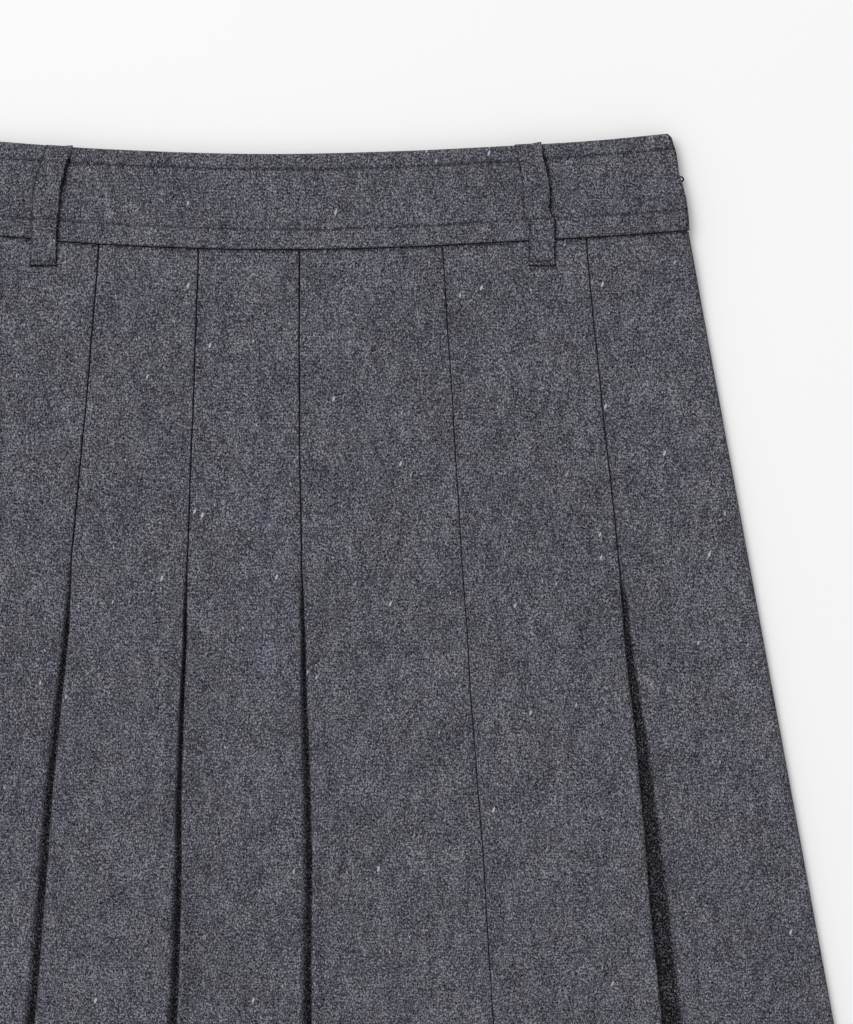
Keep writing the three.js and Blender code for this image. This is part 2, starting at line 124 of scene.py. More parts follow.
@dataclass(frozen=True)
class Pattern:
    """The outline of the skirt as it lies. A level is a distance down from the waist edge."""

    length: float = 780.0
    band: float = 42.0
    half_waist: float = 166.5
    flare: float = 0.1842
    hem_rise: float = 20.0
    release: float = 178.0
    loop_room: float = 1.5
    raised_until: float = 57.0
    down_at: float = 80.0
    edge_rise: Curve = Curve(
        (-1.0, -0.76, -0.5, -0.1, 0.27, 0.6, 0.8, 1.0), (8.6, 5.0, 2.05, 0.0, 1.3, 4.0, 6.1, 9.3)
    )
    seam_rise: Curve = Curve(
        (-1.0, -0.76, -0.5, -0.1, 0.27, 0.6, 0.8, 1.0), (9.8, 6.1, 2.4, 0.0, 1.1, 4.0, 5.9, 8.4)
    )

    def rise(self, place: np.ndarray, level: np.ndarray) -> np.ndarray:
        """How far points lie above their level at the centre front.

        Args:
            place: Shares of the half width, from -1 on the left to 1 on the right.
            level: Distances down from the waist.

        Returns:
            The waist's curve, which fades from the edge's to the seam's and then to the hem's.
        """
        side = np.clip(place, -1.0, 1.0)
        edge, seam = self.edge_rise(side), self.seam_rise(side)
        on_band = edge + (seam - edge) * np.clip(level, 0.0, None) / self.band
        down = (level - self.band) / (self.length - self.band)
        on_body = seam + (self.hem_rise * side**2 - seam) * down
        return np.where(level <= self.band, on_band, on_body)

    def side(self, sign: np.ndarray, level: np.ndarray) -> np.ndarray:
        """Where the side line lies.

        Args:
            sign: -1 for the left side and 1 for the right side.
            level: Distances down from the waist.

        Returns:
            Places across, on the straight flared side line.
        """
        level = np.asarray(level, float)
        sign = np.broadcast_to(np.asarray(sign, float), level.shape)
        return sign * (self.half_waist + self.flare * (level - self.rise(sign, level)))

    def place(self, x: np.ndarray, level: np.ndarray) -> np.ndarray:
        """Each point's share of the half width at its level."""
        return x / np.abs(self.side(np.where(x < 0, -1.0, 1.0), level))

    def height_up(self, x: np.ndarray, level: np.ndarray) -> np.ndarray:
        """How far up the skirt, from its middle, points at these levels lie."""
        return self.length / 2 - level + self.rise(self.place(x, level), level)

    def base(self, level: np.ndarray) -> np.ndarray:
        """How high the underside lies: raised over the back loops, then on the plane below."""
        eased = smooth((level - self.raised_until) / (self.down_at - self.raised_until))
        return self.loop_room * (1.0 - eased)


PATTERN = Pattern()

SEAM_LEVELS = (PATTERN.band, 110.0, PATTERN.release, 284.0, 372.0, PATTERN.length)
OPEN_LEVELS = (PATTERN.release, 214.0, 275.0, 355.0, PATTERN.length)
SEAM_WAVES = ((0.08, 8.3, 1), (0.05, 3.1, 2))  # height, length and phase of a sewn line's unevenness
FOLD_WAVE, FOLD_WAVE_LENGTH = 0.24, 19.0  # the slower unevenness of a pressed fold below the stitching
FOLD_WAVE_GROWS = 60.0  # how far below the stitching it is in full
SEAM_ROUND = 0.1  # how far a sewn edge stands out


@dataclass(frozen=True)
class Seam:
    """A seam of the body: its places at the seam levels, and the fold below its stitching.

    At the open levels, the dip beside the fold has the widths given, and the fold's edge lies to the
    right of the seam's line by the shifts given.
    """

    name: str
    places: tuple[float, ...]
    faces: Facing
    widths: tuple[float, ...]
    shifts: tuple[float, ...]
    lift: float
    lifts_over: float
    # darkness, soft and flank set the painted shade in the dip and on the fold
    darkness: float
    soft: float  # the share of the dip's width over which its painted shade fades out
    flank: float  # how dark the painted shade on the fold's top is beside its edge, low down

    def across(self, level: np.ndarray) -> np.ndarray:
        """Where the fold's edge lies at these levels.

        Args:
            level: Distances down from the waist.

        Returns:
            The seam's line, followed along the skirt's curved levels, with its shift and a slight
            unevenness of three slow waves.
        """
        curve = Curve(SEAM_LEVELS, self.places)
        first = curve(level)
        line = curve(level - PATTERN.rise(PATTERN.place(first, level), level))
        start = self.places[0]
        uneven = sum(high * np.sin(level / long + turn * start) for high, long, turn in SEAM_WAVES)
        below = smooth((level - PATTERN.release) / FOLD_WAVE_GROWS)
        uneven = uneven + FOLD_WAVE * below * np.sin(level / FOLD_WAVE_LENGTH + 3 * start)
        return line + Curve(OPEN_LEVELS, self.shifts)(level) + uneven


FRONT_SEAMS = (
    Seam(
        "z", places=(-130.7, -139.0, -149.0, -165.0, -175.0, -222.0), faces=Facing.LEFT,
        widths=(2.0, 3.2, 4.4, 5.2, 6.4), shifts=(0.3, 1.5, 1.8, 1.5, 1.6),
        lift=2.0, lifts_over=40.0, darkness=0.88, soft=0.70, flank=0.1,
    ),
    Seam(
        "a", places=(-86.9, -92.7, -99.2, -109.2, -115.1, -148.7), faces=Facing.LEFT,
        widths=(2.0, 3.2, 4.6, 5.6, 6.0), shifts=(0.3, 2.0, 2.0, 1.0, 1.5),
        lift=2.0, lifts_over=40.0, darkness=0.88, soft=0.72, flank=0.0,
    ),
    Seam(
        "b", places=(-43.0, -45.5, -48.0, -51.3, -54.1, -67.0), faces=Facing.LEFT,
        widths=(2.0, 1.9, 3.0, 5.0, 5.8), shifts=(0.3, 0.6, 0.9, 2.0, 2.0),
        lift=2.2, lifts_over=60.0, darkness=0.90, soft=0.66, flank=0.35,
    ),
    Seam(
        "c", places=(1.3, 1.3, 2.2, 4.2, 4.6, 9.3), faces=Facing.LEFT,
        widths=(2.0, 2.6, 4.3, 5.0, 5.8), shifts=(0.3, 1.0, 2.0, 2.2, 2.0),
        lift=2.2, lifts_over=50.0, darkness=0.88, soft=0.74, flank=0.3,
    ),
    Seam(
        "d", places=(64.2, 68.6, 72.7, 80.1, 86.1, 113.6), faces=Facing.OPEN,
        widths=(2.0,) * 5, shifts=(0.3,) * 5,
        lift=0.0, lifts_over=1.0, darkness=0.5, soft=0.5, flank=0.0,
    ),
    Seam(
        "e", places=(127.6, 134.5, 141.9, 152.2, 160.2, 201.9), faces=Facing.RIGHT,
        widths=(2.0, 3.2, 6.6, 10.6, 13.0), shifts=(0.15, -0.4, -0.2, -0.1, -0.3),
        lift=3.4, lifts_over=200.0, darkness=0.80, soft=0.36, flank=0.0,
    ),
)


def seam_between(first: Seam, second: Seam) -> Seam:
    """A seam of the back, halfway between two of the front.

    Args:
        first: The front seam to its left.
        second: The front seam to its right.

    Returns:
        A seam with a flat pressed pleat.
    """
    places = tuple((a + b) / 2 for a, b in zip(first.places, second.places))
    faces = Facing.RIGHT if second.faces is Facing.RIGHT else Facing.LEFT
    return Seam(
        first.name + second.name, places=places, faces=faces,
        widths=(2.0, 3.0, 3.0, 3.0, 3.4), shifts=(0.0,) * len(OPEN_LEVELS),
        lift=0.0, lifts_over=40.0, darkness=0.85, soft=0.6, flank=0.0,
    )


BACK_SEAMS = tuple(seam_between(a, b) for a, b in zip(FRONT_SEAMS, FRONT_SEAMS[1:]))


CREASE_FADE = 0.3  # the share of a crease's length over which each end fades
BROAD_WAVE, FINE_WAVE = 0.14, 0.06  # how high the pressed cloth's soft waves are
BAND_HOLDS = 26.0  # how far below the waistband its hold on the cloth fades


@dataclass(frozen=True)
class Crease:
    """A soft trough (below 0) or ridge (above 0) in the front, along a straight line."""

    start: tuple[float, float]  # place across, level
    end: tuple[float, float]
    width: float
    height: float

    def relief(self, x: np.ndarray, level: np.ndarray) -> np.ndarray:
        """How far the crease moves points up.

        Args:
            x: Places across.
            level: Distances down from the waist.

        Returns:
            A bell across the line, which fades over the first and the last part of its length.
        """
        (x0, l0), (x1, l1) = self.start, self.end
        length = math.hypot(x1 - x0, l1 - l0)
        along = ((x - x0) * (x1 - x0) + (level - l0) * (l1 - l0)) / length**2
        away = ((x - x0) * (l1 - l0) - (level - l0) * (x1 - x0)) / length
        fade = smooth(along / CREASE_FADE) * smooth((1.0 - along) / CREASE_FADE)
        return self.height * bump(away, self.width) * fade


# Each crease's start, end, width and height
CREASES = (
    Crease((-72.0, 60.0), (-66.0, 210.0), 9.0, -0.25),
    Crease((30.0, 90.0), (36.0, 300.0), 13.0, -0.3),
    Crease((-20.0, 230.0), (-28.0, 430.0), 12.0, 0.35),
    Crease((108.0, 200.0), (122.0, 420.0), 14.0, 0.4),
    Crease((-82.0, 300.0), (-104.0, 560.0), 13.0, 0.45),
    Crease((44.0, 380.0), (60.0, 700.0), 18.0, -0.5),
    Crease((176.0, 330.0), (232.0, 690.0), 13.0, 0.5),
    Crease((-150.0, 240.0), (-172.0, 470.0), 12.0, -0.3),
    Crease((-198.0, 380.0), (-246.0, 720.0), 15.0, 0.45),
    Crease((-30.0, 500.0), (-36.0, 770.0), 14.0, 0.5),
    Crease((150.0, 480.0), (158.0, 770.0), 15.0, -0.5),
    Crease((-104.0, 178.0), (-84.0, 246.0), 7.0, 0.25),
    Crease((-52.0, 178.0), (-30.0, 236.0), 7.0, 0.22),
    Crease((142.0, 178.0), (120.0, 250.0), 8.0, 0.3),
)


def front_relief(x: np.ndarray, level: np.ndarray) -> np.ndarray:
    """The soft unevenness of the front.

    Args:
        x: Places across.
        level: Distances down from the waist.

    Returns:
        How far points move up: two crossed slow waves and the creases, none at the waistband.
    """
    across = np.sin(x / 21.0 + 1.3 * np.sin(level / 63.0))
    along = np.sin(level / 43.0 + 0.9 * np.sin(x / 37.0))
    fine = np.sin((x + 0.6 * level) / 11.0) * np.sin((x - 1.7 * level) / 29.0)
    creases = sum(crease.relief(x, level) for crease in CREASES)
    relief = BROAD_WAVE * across * along + FINE_WAVE * fine + creases
    return relief * smooth((level - PATTERN.band) / BAND_HOLDS)


def spread(*parts: np.ndarray | float) -> np.ndarray:
    """Spreads parts to the same rows and columns and stacks them as the last axis."""
    return np.stack(np.broadcast_arrays(*parts), -1)


def quads(grid: np.ndarray) -> np.ndarray:
    """The four-sided faces between the neighbours in a grid of point numbers, one to a row."""
    return np.stack([grid[:-1, :-1], grid[:-1, 1:], grid[1:, 1:], grid[1:, :-1]], -1).reshape(-1, 4)


@dataclass
class Wall:
    """A closed wall of cloth between two grids of points, rows down and columns to the right."""

    outer: np.ndarray
    inner: np.ndarray
    shade: np.ndarray
    rim_turn: float = math.radians(84.0)
    # painted shade on the inner face
    inner_shade: float = 0.75

    def edge(
        self, axis: int, at: int, before: int, out: float, steps: int
    ) -> tuple[np.ndarray, np.ndarray]:
        """The points that go round one edge.

        Args:
            axis: 0 for an edge along a row, 1 for one along a column.
            at: The number of the edge's row or column.
            before: The number of the one beside it.
            out: How far the edge stands out.
            steps: How many rows or columns of points go round it.

        Returns:
            The outer and the inner points of a half ellipse, from the wall outward.
        """
        outer, inner = np.moveaxis(self.outer, axis, 0), np.moveaxis(self.inner, axis, 0)
        angles = np.linspace(0.0, self.rim_turn, steps + 1)[1:, None, None]
        middle = (outer[at] + inner[at]) / 2
        ahead = middle - (outer[before] + inner[before]) / 2
        ahead = out * ahead / (np.linalg.norm(ahead, axis=-1, keepdims=True) + 1e-9)
        centre = middle + ahead * np.sin(angles)
        half = (outer[at] - middle) * np.cos(angles)
        return centre + half, centre - half

    def rimmed(self, axis: int, reach: tuple[float, float], steps: int = 3) -> "Wall":
        """Rounds the edges of the wall off.

        Args:
            axis: 0 for the first and last rows, 1 for the first and last columns.
            reach: How far the first and the last edge stand out.
            steps: How many rows or columns of points go round each edge.

        Returns:
            The wall with half ellipses from the outer to the inner face at those edges.
        """
        first = self.edge(axis, 0, 1, reach[0], steps)
        last = self.edge(axis, -1, -2, reach[1], steps)
        outer, inner = np.moveaxis(self.outer, axis, 0), np.moveaxis(self.inner, axis, 0)
        shade = np.moveaxis(self.shade, axis, 0)
        outer = np.concatenate([first[0][::-1], outer, last[0]])
        inner = np.concatenate([first[1][::-1], inner, last[1]])
        shade = np.concatenate([np.repeat(shade[:1], steps, 0), shade, np.repeat(shade[-1:], steps, 0)])
        return Wall(*(np.moveaxis(grid, 0, axis) for grid in (outer, inner, shade)))

    def build(self, name: str) -> bpy.types.Object:
        """Makes the mesh.

        Args:
            name: The name of the piece.

        Returns:
            The closed piece, its faces pointing out, with its shade attribute.
        """
        rows, columns = self.outer.shape[:2]
        index = np.arange(2 * rows * columns).reshape(2, rows, columns)
        rims = [index[:, :, 0], index[:, :, -1], index[:, 0], index[:, -1]]
        faces = np.concatenate([quads(grid) for grid in (index[0], index[1], *rims)])
        points = np.concatenate([self.outer.reshape(-1, 3), self.inner.reshape(-1, 3)]) * MM
        piece = mesh_piece(name, points, faces)
        shade = np.concatenate([self.shade.ravel(), np.full(rows * columns, self.inner_shade)])
        attribute = piece.data.attributes.new("shade", "FLOAT", "POINT")
        attribute.data.foreach_set("value", shade.astype(np.float32))
        return piece


def mesh_piece(name: str, points: np.ndarray, faces: np.ndarray) -> bpy.types.Object:
    """Puts arrays into a new smooth mesh.

    Args:
        name: The name of the piece.
        points: The points, in metres.
        faces: The corner numbers of each four-sided face.

    Returns:
        The object, at the origin, its faces pointing out.
    """
    mesh = bpy.data.meshes.new(name)
    mesh.from_pydata(points.tolist(), [], faces.tolist())
    work = bmesh.new()
    work.from_mesh(mesh)
    bmesh.ops.recalc_face_normals(work, faces=work.faces)
    work.to_mesh(mesh)
    work.free()
    mesh.polygons.foreach_set("use_smooth", np.ones(len(mesh.polygons), bool))
    mesh.update()
    piece = bpy.data.objects.new(name, mesh)
    bpy.context.scene.collection.objects.link(piece)
    return piece


def joined(name: str, parts: list[tuple[np.ndarray, np.ndarray]]) -> bpy.types.Object:
    """Joins many small closed forms into one piece.

    Args:
        name: The name of the piece.
        parts: The points and the faces of each form.

    Returns:
        The piece.
    """
    starts = np.cumsum([0] + [len(points) for points, _ in parts[:-1]])
    points = np.concatenate([points for points, _ in parts])
    faces = np.concatenate([faces + start for (_, faces), start in zip(parts, starts)])
    return mesh_piece(name, points * MM, faces)


def tube(
    path: np.ndarray, radii: np.ndarray, sides: int, closed: bool = False
) -> tuple[np.ndarray, np.ndarray]:
    """A round section carried along a path.

    Args:
        path: The points of the middle line.
        radii: The radius at each.
        sides: How many points go round.
        closed: Whether the last section joins the first.

    Returns:
        The points and the four-sided faces. The ends of an open tube close to their middles.
    """
    if closed:
        ahead = np.roll(path, -1, 0) - np.roll(path, 1, 0)
    else:
        ahead = np.gradient(path, axis=0)
    ahead /= np.linalg.norm(ahead, axis=1, keepdims=True)
    across = np.cross(ahead, [0.0, 0.0, 1.0])
    across /= np.linalg.norm(across, axis=1, keepdims=True) + 1e-9
    up = np.cross(across, ahead)
    turn = np.linspace(0, 2 * np.pi, sides, endpoint=False)
    turn = turn[None, :, None]
    section = np.cos(turn) * across[:, None] + np.sin(turn) * up[:, None]
    points = path[:, None] + radii[:, None, None] * section
    rings = len(path)
    index = np.arange(rings * sides).reshape(rings, sides)
    after = np.roll(index, -1, 1)
    last = rings if closed else rings - 1
    corners = [index, after, np.roll(after, -1, 0), np.roll(index, -1, 0)]
    faces = np.stack(corners, -1)[:last].reshape(-1, 4)
    if not closed:
        half = sides // 2
        caps = [
            [row[i], row[i + 1], row[sides - 2 - i], row[sides - 1 - i]]
            for row in (index[0], index[-1])
            for i in range(half - 1)
        ]
        faces = np.concatenate([faces, np.array(caps)])
    return points.reshape(-1, 3), faces


CLOUD_TURN = (0.61, 0.47, 0.33)  # turns a cloud's cells off the cloth's own axes


class Graph:
    """A material's shader nodes, added and joined by name."""

    def __init__(self, name: str, roughness: float, **sockets: float) -> None:
        """Starts a material.

        Args:
            name: The material's name.
            roughness: The shader's roughness.
            **sockets: Further constants on the shader's own sockets, spaces written as underscores.
        """
        self.material = bpy.data.materials.new(name)
        self.material.use_nodes = True
        self.tree = self.material.node_tree
        self.shader = next(n for n in self.tree.nodes if n.type == "BSDF_PRINCIPLED")
        self.shader.inputs["Roughness"].default_value = roughness
        for socket, value in sockets.items():
            self.shader.inputs[socket.replace("_", " ")].default_value = value
        self.coordinates = self.add("ShaderNodeTexCoord").outputs["Object"]

    def add(self, kind: str, inputs: dict | None = None, **settings: object) -> bpy.types.Node:
        """Adds a node.

        Args:
            kind: Blender's name for the node.
            inputs: What goes into its inputs: a value, or another node's output.
            **settings: The node's own settings.

        Returns:
            The node.
        """
        node = self.tree.nodes.new(kind)
        for key, value in settings.items():
            setattr(node, key, value)
        for key, value in (inputs or {}).items():
            if isinstance(value, bpy.types.NodeSocket):
                self.tree.links.new(value, node.inputs[key])
            else:
                node.inputs[key].default_value = value
        return node

    def math(
        self,
        operation: str,
        first: object,
        second: object = 0.0,
        third: object = 0.0,
        clamp: bool = False,
    ) -> bpy.types.NodeSocket:
        """Works out a sum on up to three values.

        Args:
            operation: Blender's name for the sum.
            first: A value, or another node's output.
            second: The same.
            third: The same.
            clamp: Whether the result is held between 0 and 1.

        Returns:
            The result's output.
        """
        inputs = {0: first, 1: second, 2: third}
        return self.add("ShaderNodeMath", inputs, operation=operation, use_clamp=clamp).outputs[0]

    def noise(
        self,
        scale: float,
        detail: float = 1.0,
        distortion: float = 0.0,
        stretch: tuple[float, float, float] = (1.0, 1.0, 1.0),
    ) -> bpy.types.NodeSocket:
        """Soft random values around one half, turned so that flat cloth cuts them alike all over.

        Args:
            scale: How many clouds there are to a metre.
            detail: How many finer clouds lie on the first.
            distortion: How much the clouds are bent.
            stretch: How much closer they are along each axis.

        Returns:
            The values' output.
        """
        turned = {"Vector": self.coordinates, "Scale": stretch, "Rotation": CLOUD_TURN}
        vector = self.add("ShaderNodeMapping", turned).outputs[0]
        inputs = {"Vector": vector, "Scale": scale, "Detail": detail, "Distortion": distortion}
        return self.add("ShaderNodeTexNoise", inputs).outputs["Fac"]

    def spots(self, scale: float, radius: float, turn: float, stretch: float) -> bpy.types.NodeSocket:
        """Scattered slim spots.

        Args:
            scale: How many places for a spot there are to a metre.
            radius: A spot's radius, as a share of the distance between places.
            turn: The angle of the line along which the spots are stretched, in radians.
            stretch: A spot's width for its length.

        Returns:
            1 inside the spots and 0 outside.
        """
        turned = self.add("ShaderNodeMapping", {"Vector": self.coordinates, "Rotation": (0.0, 0.0, turn)})
        slim = self.add("ShaderNodeMapping", {"Vector": turned.outputs[0], "Scale": (1.0, stretch, 1.0)})
        cells = self.add("ShaderNodeTexVoronoi", {"Vector": slim.outputs[0], "Scale": scale})
        inputs = {0: cells.outputs["Distance"], 1: radius * 0.6, 2: radius, 3: 1.0, 4: 0.0}
        return self.add("ShaderNodeMapRange", inputs).outputs[0]

    def ramp(self, value: object, stops: list[tuple[float, tuple[float, ...]]]) -> bpy.types.NodeSocket:
        """Colours along a value.

        Args:
            value: The value's output.
            stops: The colour at each of a few values.

        Returns:
            The colour's output.
        """
        node = self.add("ShaderNodeValToRGB", {"Fac": value})
        elements = node.color_ramp.elements
        while len(elements) < len(stops):
            elements.new(0.5)
        for element, (position, color) in zip(elements, stops):
            element.position = position
            element.color = (*color, 1.0)
        return node.outputs["Color"]

    def mix(self, share: object, first: object, second: object, blend: str = "MIX") -> bpy.types.NodeSocket:
        """A mix of two colours.

        Args:
            share: How much of the second is taken.
            first: A colour, or another node's output.
            second: The same.
            blend: Blender's name for the kind of mix.

        Returns:
            The colour's output.
        """
        node = self.add("ShaderNodeMix", data_type="RGBA", blend_type=blend)
        for key, value in (("Factor_Float", share), ("A_Color", first), ("B_Color", second)):
            socket = next(s for s in node.inputs if s.identifier == key)
            if isinstance(value, bpy.types.NodeSocket):
                self.tree.links.new(value, socket)
            else:
                socket.default_value = value
        return next(s for s in node.outputs if s.identifier == "Result_Color")

    def finish(
        self, color: object, height: object = None, strength: float = 0.0, distance: float = 0.0
    ) -> bpy.types.Material:
        """Joins a colour and a relief to the shader.

        Args:
            color: The colour's output.
            height: The relief's output, or None.
            strength: How strongly the relief is felt.
            distance: How high it is, in metres.

        Returns:
            The material.
        """
        self.tree.links.new(color, self.shader.inputs["Base Color"])
        if height is not None:
            inputs = {"Height": height, "Strength": strength, "Distance": distance}
            node = self.add("ShaderNodeBump", inputs)
            self.tree.links.new(node.outputs[0], self.shader.inputs["Normal"])
        return self.material


@dataclass(frozen=True)
class Flannel:
    """Melange grey wool flannel: light and dark fibres felted together, with flecks and slubs."""

    name: str
    dark: tuple[float, float, float] = (0.0065, 0.0064, 0.0085)
    middle: tuple[float, float, float] = (0.0622, 0.0618, 0.0784)
    light: tuple[float, float, float] = (0.264, 0.266, 0.306)
    grain: float = 1700.0  # fibre clumps to a metre
    strand: float = 700.0
    mottle: float = 215.0
    weft: float = 262.0  # the wave texture's scale for a weft thread every 1.2 mm
    shares: tuple[float, ...] = (0.73, 0.04, 0.17, 0.06)  # of clumps, strands, mottle and weft
    olive: tuple[float, ...] = (1.0, 1.01, 0.955, 1.0)
    blue: tuple[float, ...] = (0.99, 0.985, 1.03, 1.0)
    tints: float = 48.0
    clouds: float = 34.0
    fleck: tuple[float, ...] = (0.42, 0.43, 0.46, 1.0)
    slub: tuple[float, ...] = (0.006, 0.006, 0.007, 1.0)
    # painted shade: the near black mixed into the colour in creases, folds, edges and under the loops
    painted_shade_color: tuple[float, ...] = (0.002, 0.002, 0.003, 1.0)

    def fibres(self, graph: Graph) -> tuple[bpy.types.NodeSocket, bpy.types.NodeSocket]:
        """The felted fibres.

        Args:
            graph: The material's nodes.

        Returns:
            The clumps alone, and their sum with strands, mottle and a faint weft, both around one half.
        """
        clumps = graph.noise(self.grain, detail=0.0, distortion=0.6, stretch=(1.09, 0.75, 1.0))
        strands = graph.noise(self.strand, detail=0.0)
        mottle = graph.noise(self.mottle, detail=2.0, stretch=(1.0, 0.4, 1.0))
        waves = {"Vector": graph.coordinates, "Scale": self.weft, "Distortion": 8.0, "Detail": 2.0}
        weft = graph.add("ShaderNodeTexWave", waves, bands_direction="Y").outputs["Fac"]
        total = 0.0
        for part, share in zip((clumps, strands, mottle, weft), self.shares):
            total = graph.math("MULTIPLY_ADD", part, share, total)
        return clumps, total

    def tinted(self, graph: Graph, color: bpy.types.NodeSocket) -> bpy.types.NodeSocket:
        """Tints a colour in soft patches.

        Args:
            graph: The material's nodes.
            color: The colour's output.

        Returns:
            The colour with patches of olive and blue, and larger ones that are lighter and darker.
        """
        hue = graph.math("MULTIPLY_ADD", graph.noise(self.tints, detail=2.0), 3.6, -1.35, clamp=True)
        color = graph.mix(1.0, color, graph.mix(hue, self.olive, self.blue), "MULTIPLY")
        cloud = graph.ramp(graph.noise(self.clouds, detail=3.0), [(0.3, (0.90,) * 3), (0.7, (1.10,) * 3)])
        return graph.mix(1.0, color, cloud, "MULTIPLY")

    def speckled(self, graph: Graph, color: bpy.types.NodeSocket) -> bpy.types.NodeSocket:
        """Scatters flecks over a colour.

        Args:
            graph: The material's nodes.
            color: The colour's output.

        Returns:
            The colour with light flecks of two sizes and dark slubs.
        """
        large, small = graph.spots(100.0, 0.062, 0.3, 0.4), graph.spots(150.0, 0.048, -0.2, 0.4)
        flecks = graph.math("MULTIPLY", graph.math("MAXIMUM", large, small), 0.9)
        slubs = graph.math("MULTIPLY", graph.spots(55.0, 0.035, -0.5, 0.5), 0.85)
        return graph.mix(slubs, graph.mix(flecks, color, self.fleck), self.slub)

    def material(self) -> bpy.types.Material:
        """Makes the cloth's material.

        Returns:
            Fibres in their colours, tinted and speckled, and darkened with painted shade where the points'
            shade attribute says so. The painted shade is ragged, because it is drawn through the clumps.
        """
        graph = Graph(self.name, 0.95, Sheen_Weight=0.03, Sheen_Roughness=0.5, Specular_IOR_Level=0.1)
        clumps, fibres = self.fibres(graph)
        color = graph.ramp(fibres, [(0.29, self.dark), (0.50, self.middle), (0.735, self.light)])
        color = self.speckled(graph, self.tinted(graph, color))
        shade = graph.add("ShaderNodeAttribute", attribute_name="shade").outputs["Fac"]
        ragged = graph.math("MULTIPLY_ADD", clumps, -1.6, 1.87)
        shade = graph.math("MULTIPLY", shade, ragged, clamp=True)
        return graph.finish(graph.mix(shade, color, self.painted_shade_color), fibres, 0.45, 0.0005)


@dataclass(frozen=True)
class Thread:
    """Dark grey sewing thread with a fine twist."""

    name: str = "sewing_thread"
    color: tuple[float, float, float] = (0.016, 0.016, 0.019)

    def material(self) -> bpy.types.Material:
        """Makes the thread's material.

        Returns:
            A dark colour that runs light and dark with the thread's plies.
        """
        graph = Graph(self.name, 0.7, Sheen_Weight=0.1)
        ply = graph.noise(5200.0, detail=1.0)
        dark = tuple(0.6 * part for part in self.color)
        light = tuple(1.5 * part for part in self.color)
        color = graph.ramp(ply, [(0.35, dark), (0.65, light)])
        return graph.finish(color, ply, 0.3, 0.0001)


@dataclass(frozen=True)
class ZipTape:
    """Dark woven tape, ribbed along its length."""

    name: str = "zip_tape_weave"
    ribs: float = 1400.0 / 6.0  # the wave texture's scale for ribs 1.3 mm apart

    def material(self) -> bpy.types.Material:
        """Makes the tape's material.

        Returns:
            A dark colour with ribs under a fine weave.
        """
        graph = Graph(self.name, 0.75, Sheen_Weight=0.1)
        waves = {"Vector": graph.coordinates, "Scale": self.ribs, "Distortion": 0.4}
        ribs = graph.add("ShaderNodeTexWave", waves).outputs["Fac"]
        weave = graph.math("ADD", graph.math("MULTIPLY", ribs, 0.5), graph.noise(2600.0, detail=1.0))
        color = graph.ramp(weave, [(0.4, (0.012, 0.012, 0.014)), (1.1, (0.045, 0.046, 0.052))])
        return graph.finish(color, weave, 0.4, 0.0002)


@dataclass(frozen=True)
class DarkWire:
    """Black coated wire, satin, with the coating a little uneven."""

    name: str = "coated_wire"

    def material(self) -> bpy.types.Material:
        """Makes the wire's material.

        Returns:
            A black that is a little uneven.
        """
        graph = Graph(self.name, 0.75, Specular_IOR_Level=0.05)
        coat = graph.noise(900.0, detail=2.0)
        color = graph.ramp(coat, [(0.3, (0.003, 0.003, 0.004)), (0.75, (0.008, 0.008, 0.009))])
        return graph.finish(color, coat, 0.1, 0.0001)


@dataclass(frozen=True)
class ToothNylon:
    """Dark nylon of the zip's coil."""

    name: str = "zip_coil"

    def material(self) -> bpy.types.Material:
        """Makes the coil's material.

        Returns:
            A dark grey that is a little uneven.
        """
        graph = Graph(self.name, 0.42, Specular_IOR_Level=0.5)
        tone = graph.noise(1500.0, detail=1.0)
        color = graph.ramp(tone, [(0.3, (0.014, 0.014, 0.016)), (0.7, (0.034, 0.034, 0.038))])
        return graph.finish(color, tone, 0.1, 0.0001)


@dataclass(frozen=True)
class PaleFloor:
    """The matt pale floor."""

    name: str = "pale_floor"
    tone: float = 0.86

    def material(self) -> bpy.types.Material:
        """Makes the floor's material.

        Returns:
            A pale grey that is hardly uneven in tone.
        """
        graph = Graph(self.name, 1.0, Specular_IOR_Level=0.0)
        faint = graph.noise(9.0, detail=1.0)
        low, high = self.tone * 0.998, self.tone * 1.002
        return graph.finish(graph.ramp(faint, [(0.3, (low, low, low)), (0.7, (high, high, high))]))


@dataclass
class Finishes:
    """The materials of the skirt, made once."""

    flannel: bpy.types.Material = field(default_factory=lambda: Flannel("wool_flannel").material())
    band: bpy.types.Material = field(
        default_factory=lambda: Flannel("wool_flannel_band", grain=1740.0, strand=730.0).material()
    )
    thread: bpy.types.Material = field(default_factory=lambda: Thread().material())
    tape: bpy.types.Material = field(default_factory=lambda: ZipTape().material())
    coil: bpy.types.Material = field(default_factory=lambda: ToothNylon().material())
    wire: bpy.types.Material = field(default_factory=lambda: DarkWire().material())


def settle(
    piece: bpy.types.Object, material: bpy.types.Material, slot: str, *nodes: str
) -> bpy.types.Object:
    """Dresses a piece and puts it on the skirt.

    Args:
        piece: The piece.
        material: Its finish.
        slot: The name of the record's material slot; not used.
        *nodes: The nodes that it stands for.

    Returns:
        The piece.
    """
    piece.data.materials.append(material)
    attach(piece, BODY)
    if nodes:
        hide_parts(*nodes)
    faces = sum(len(p.vertices) - 2 for p in piece.data.polygons)
    log.info("%s: %d triangles", piece.name, faces)
    return piece


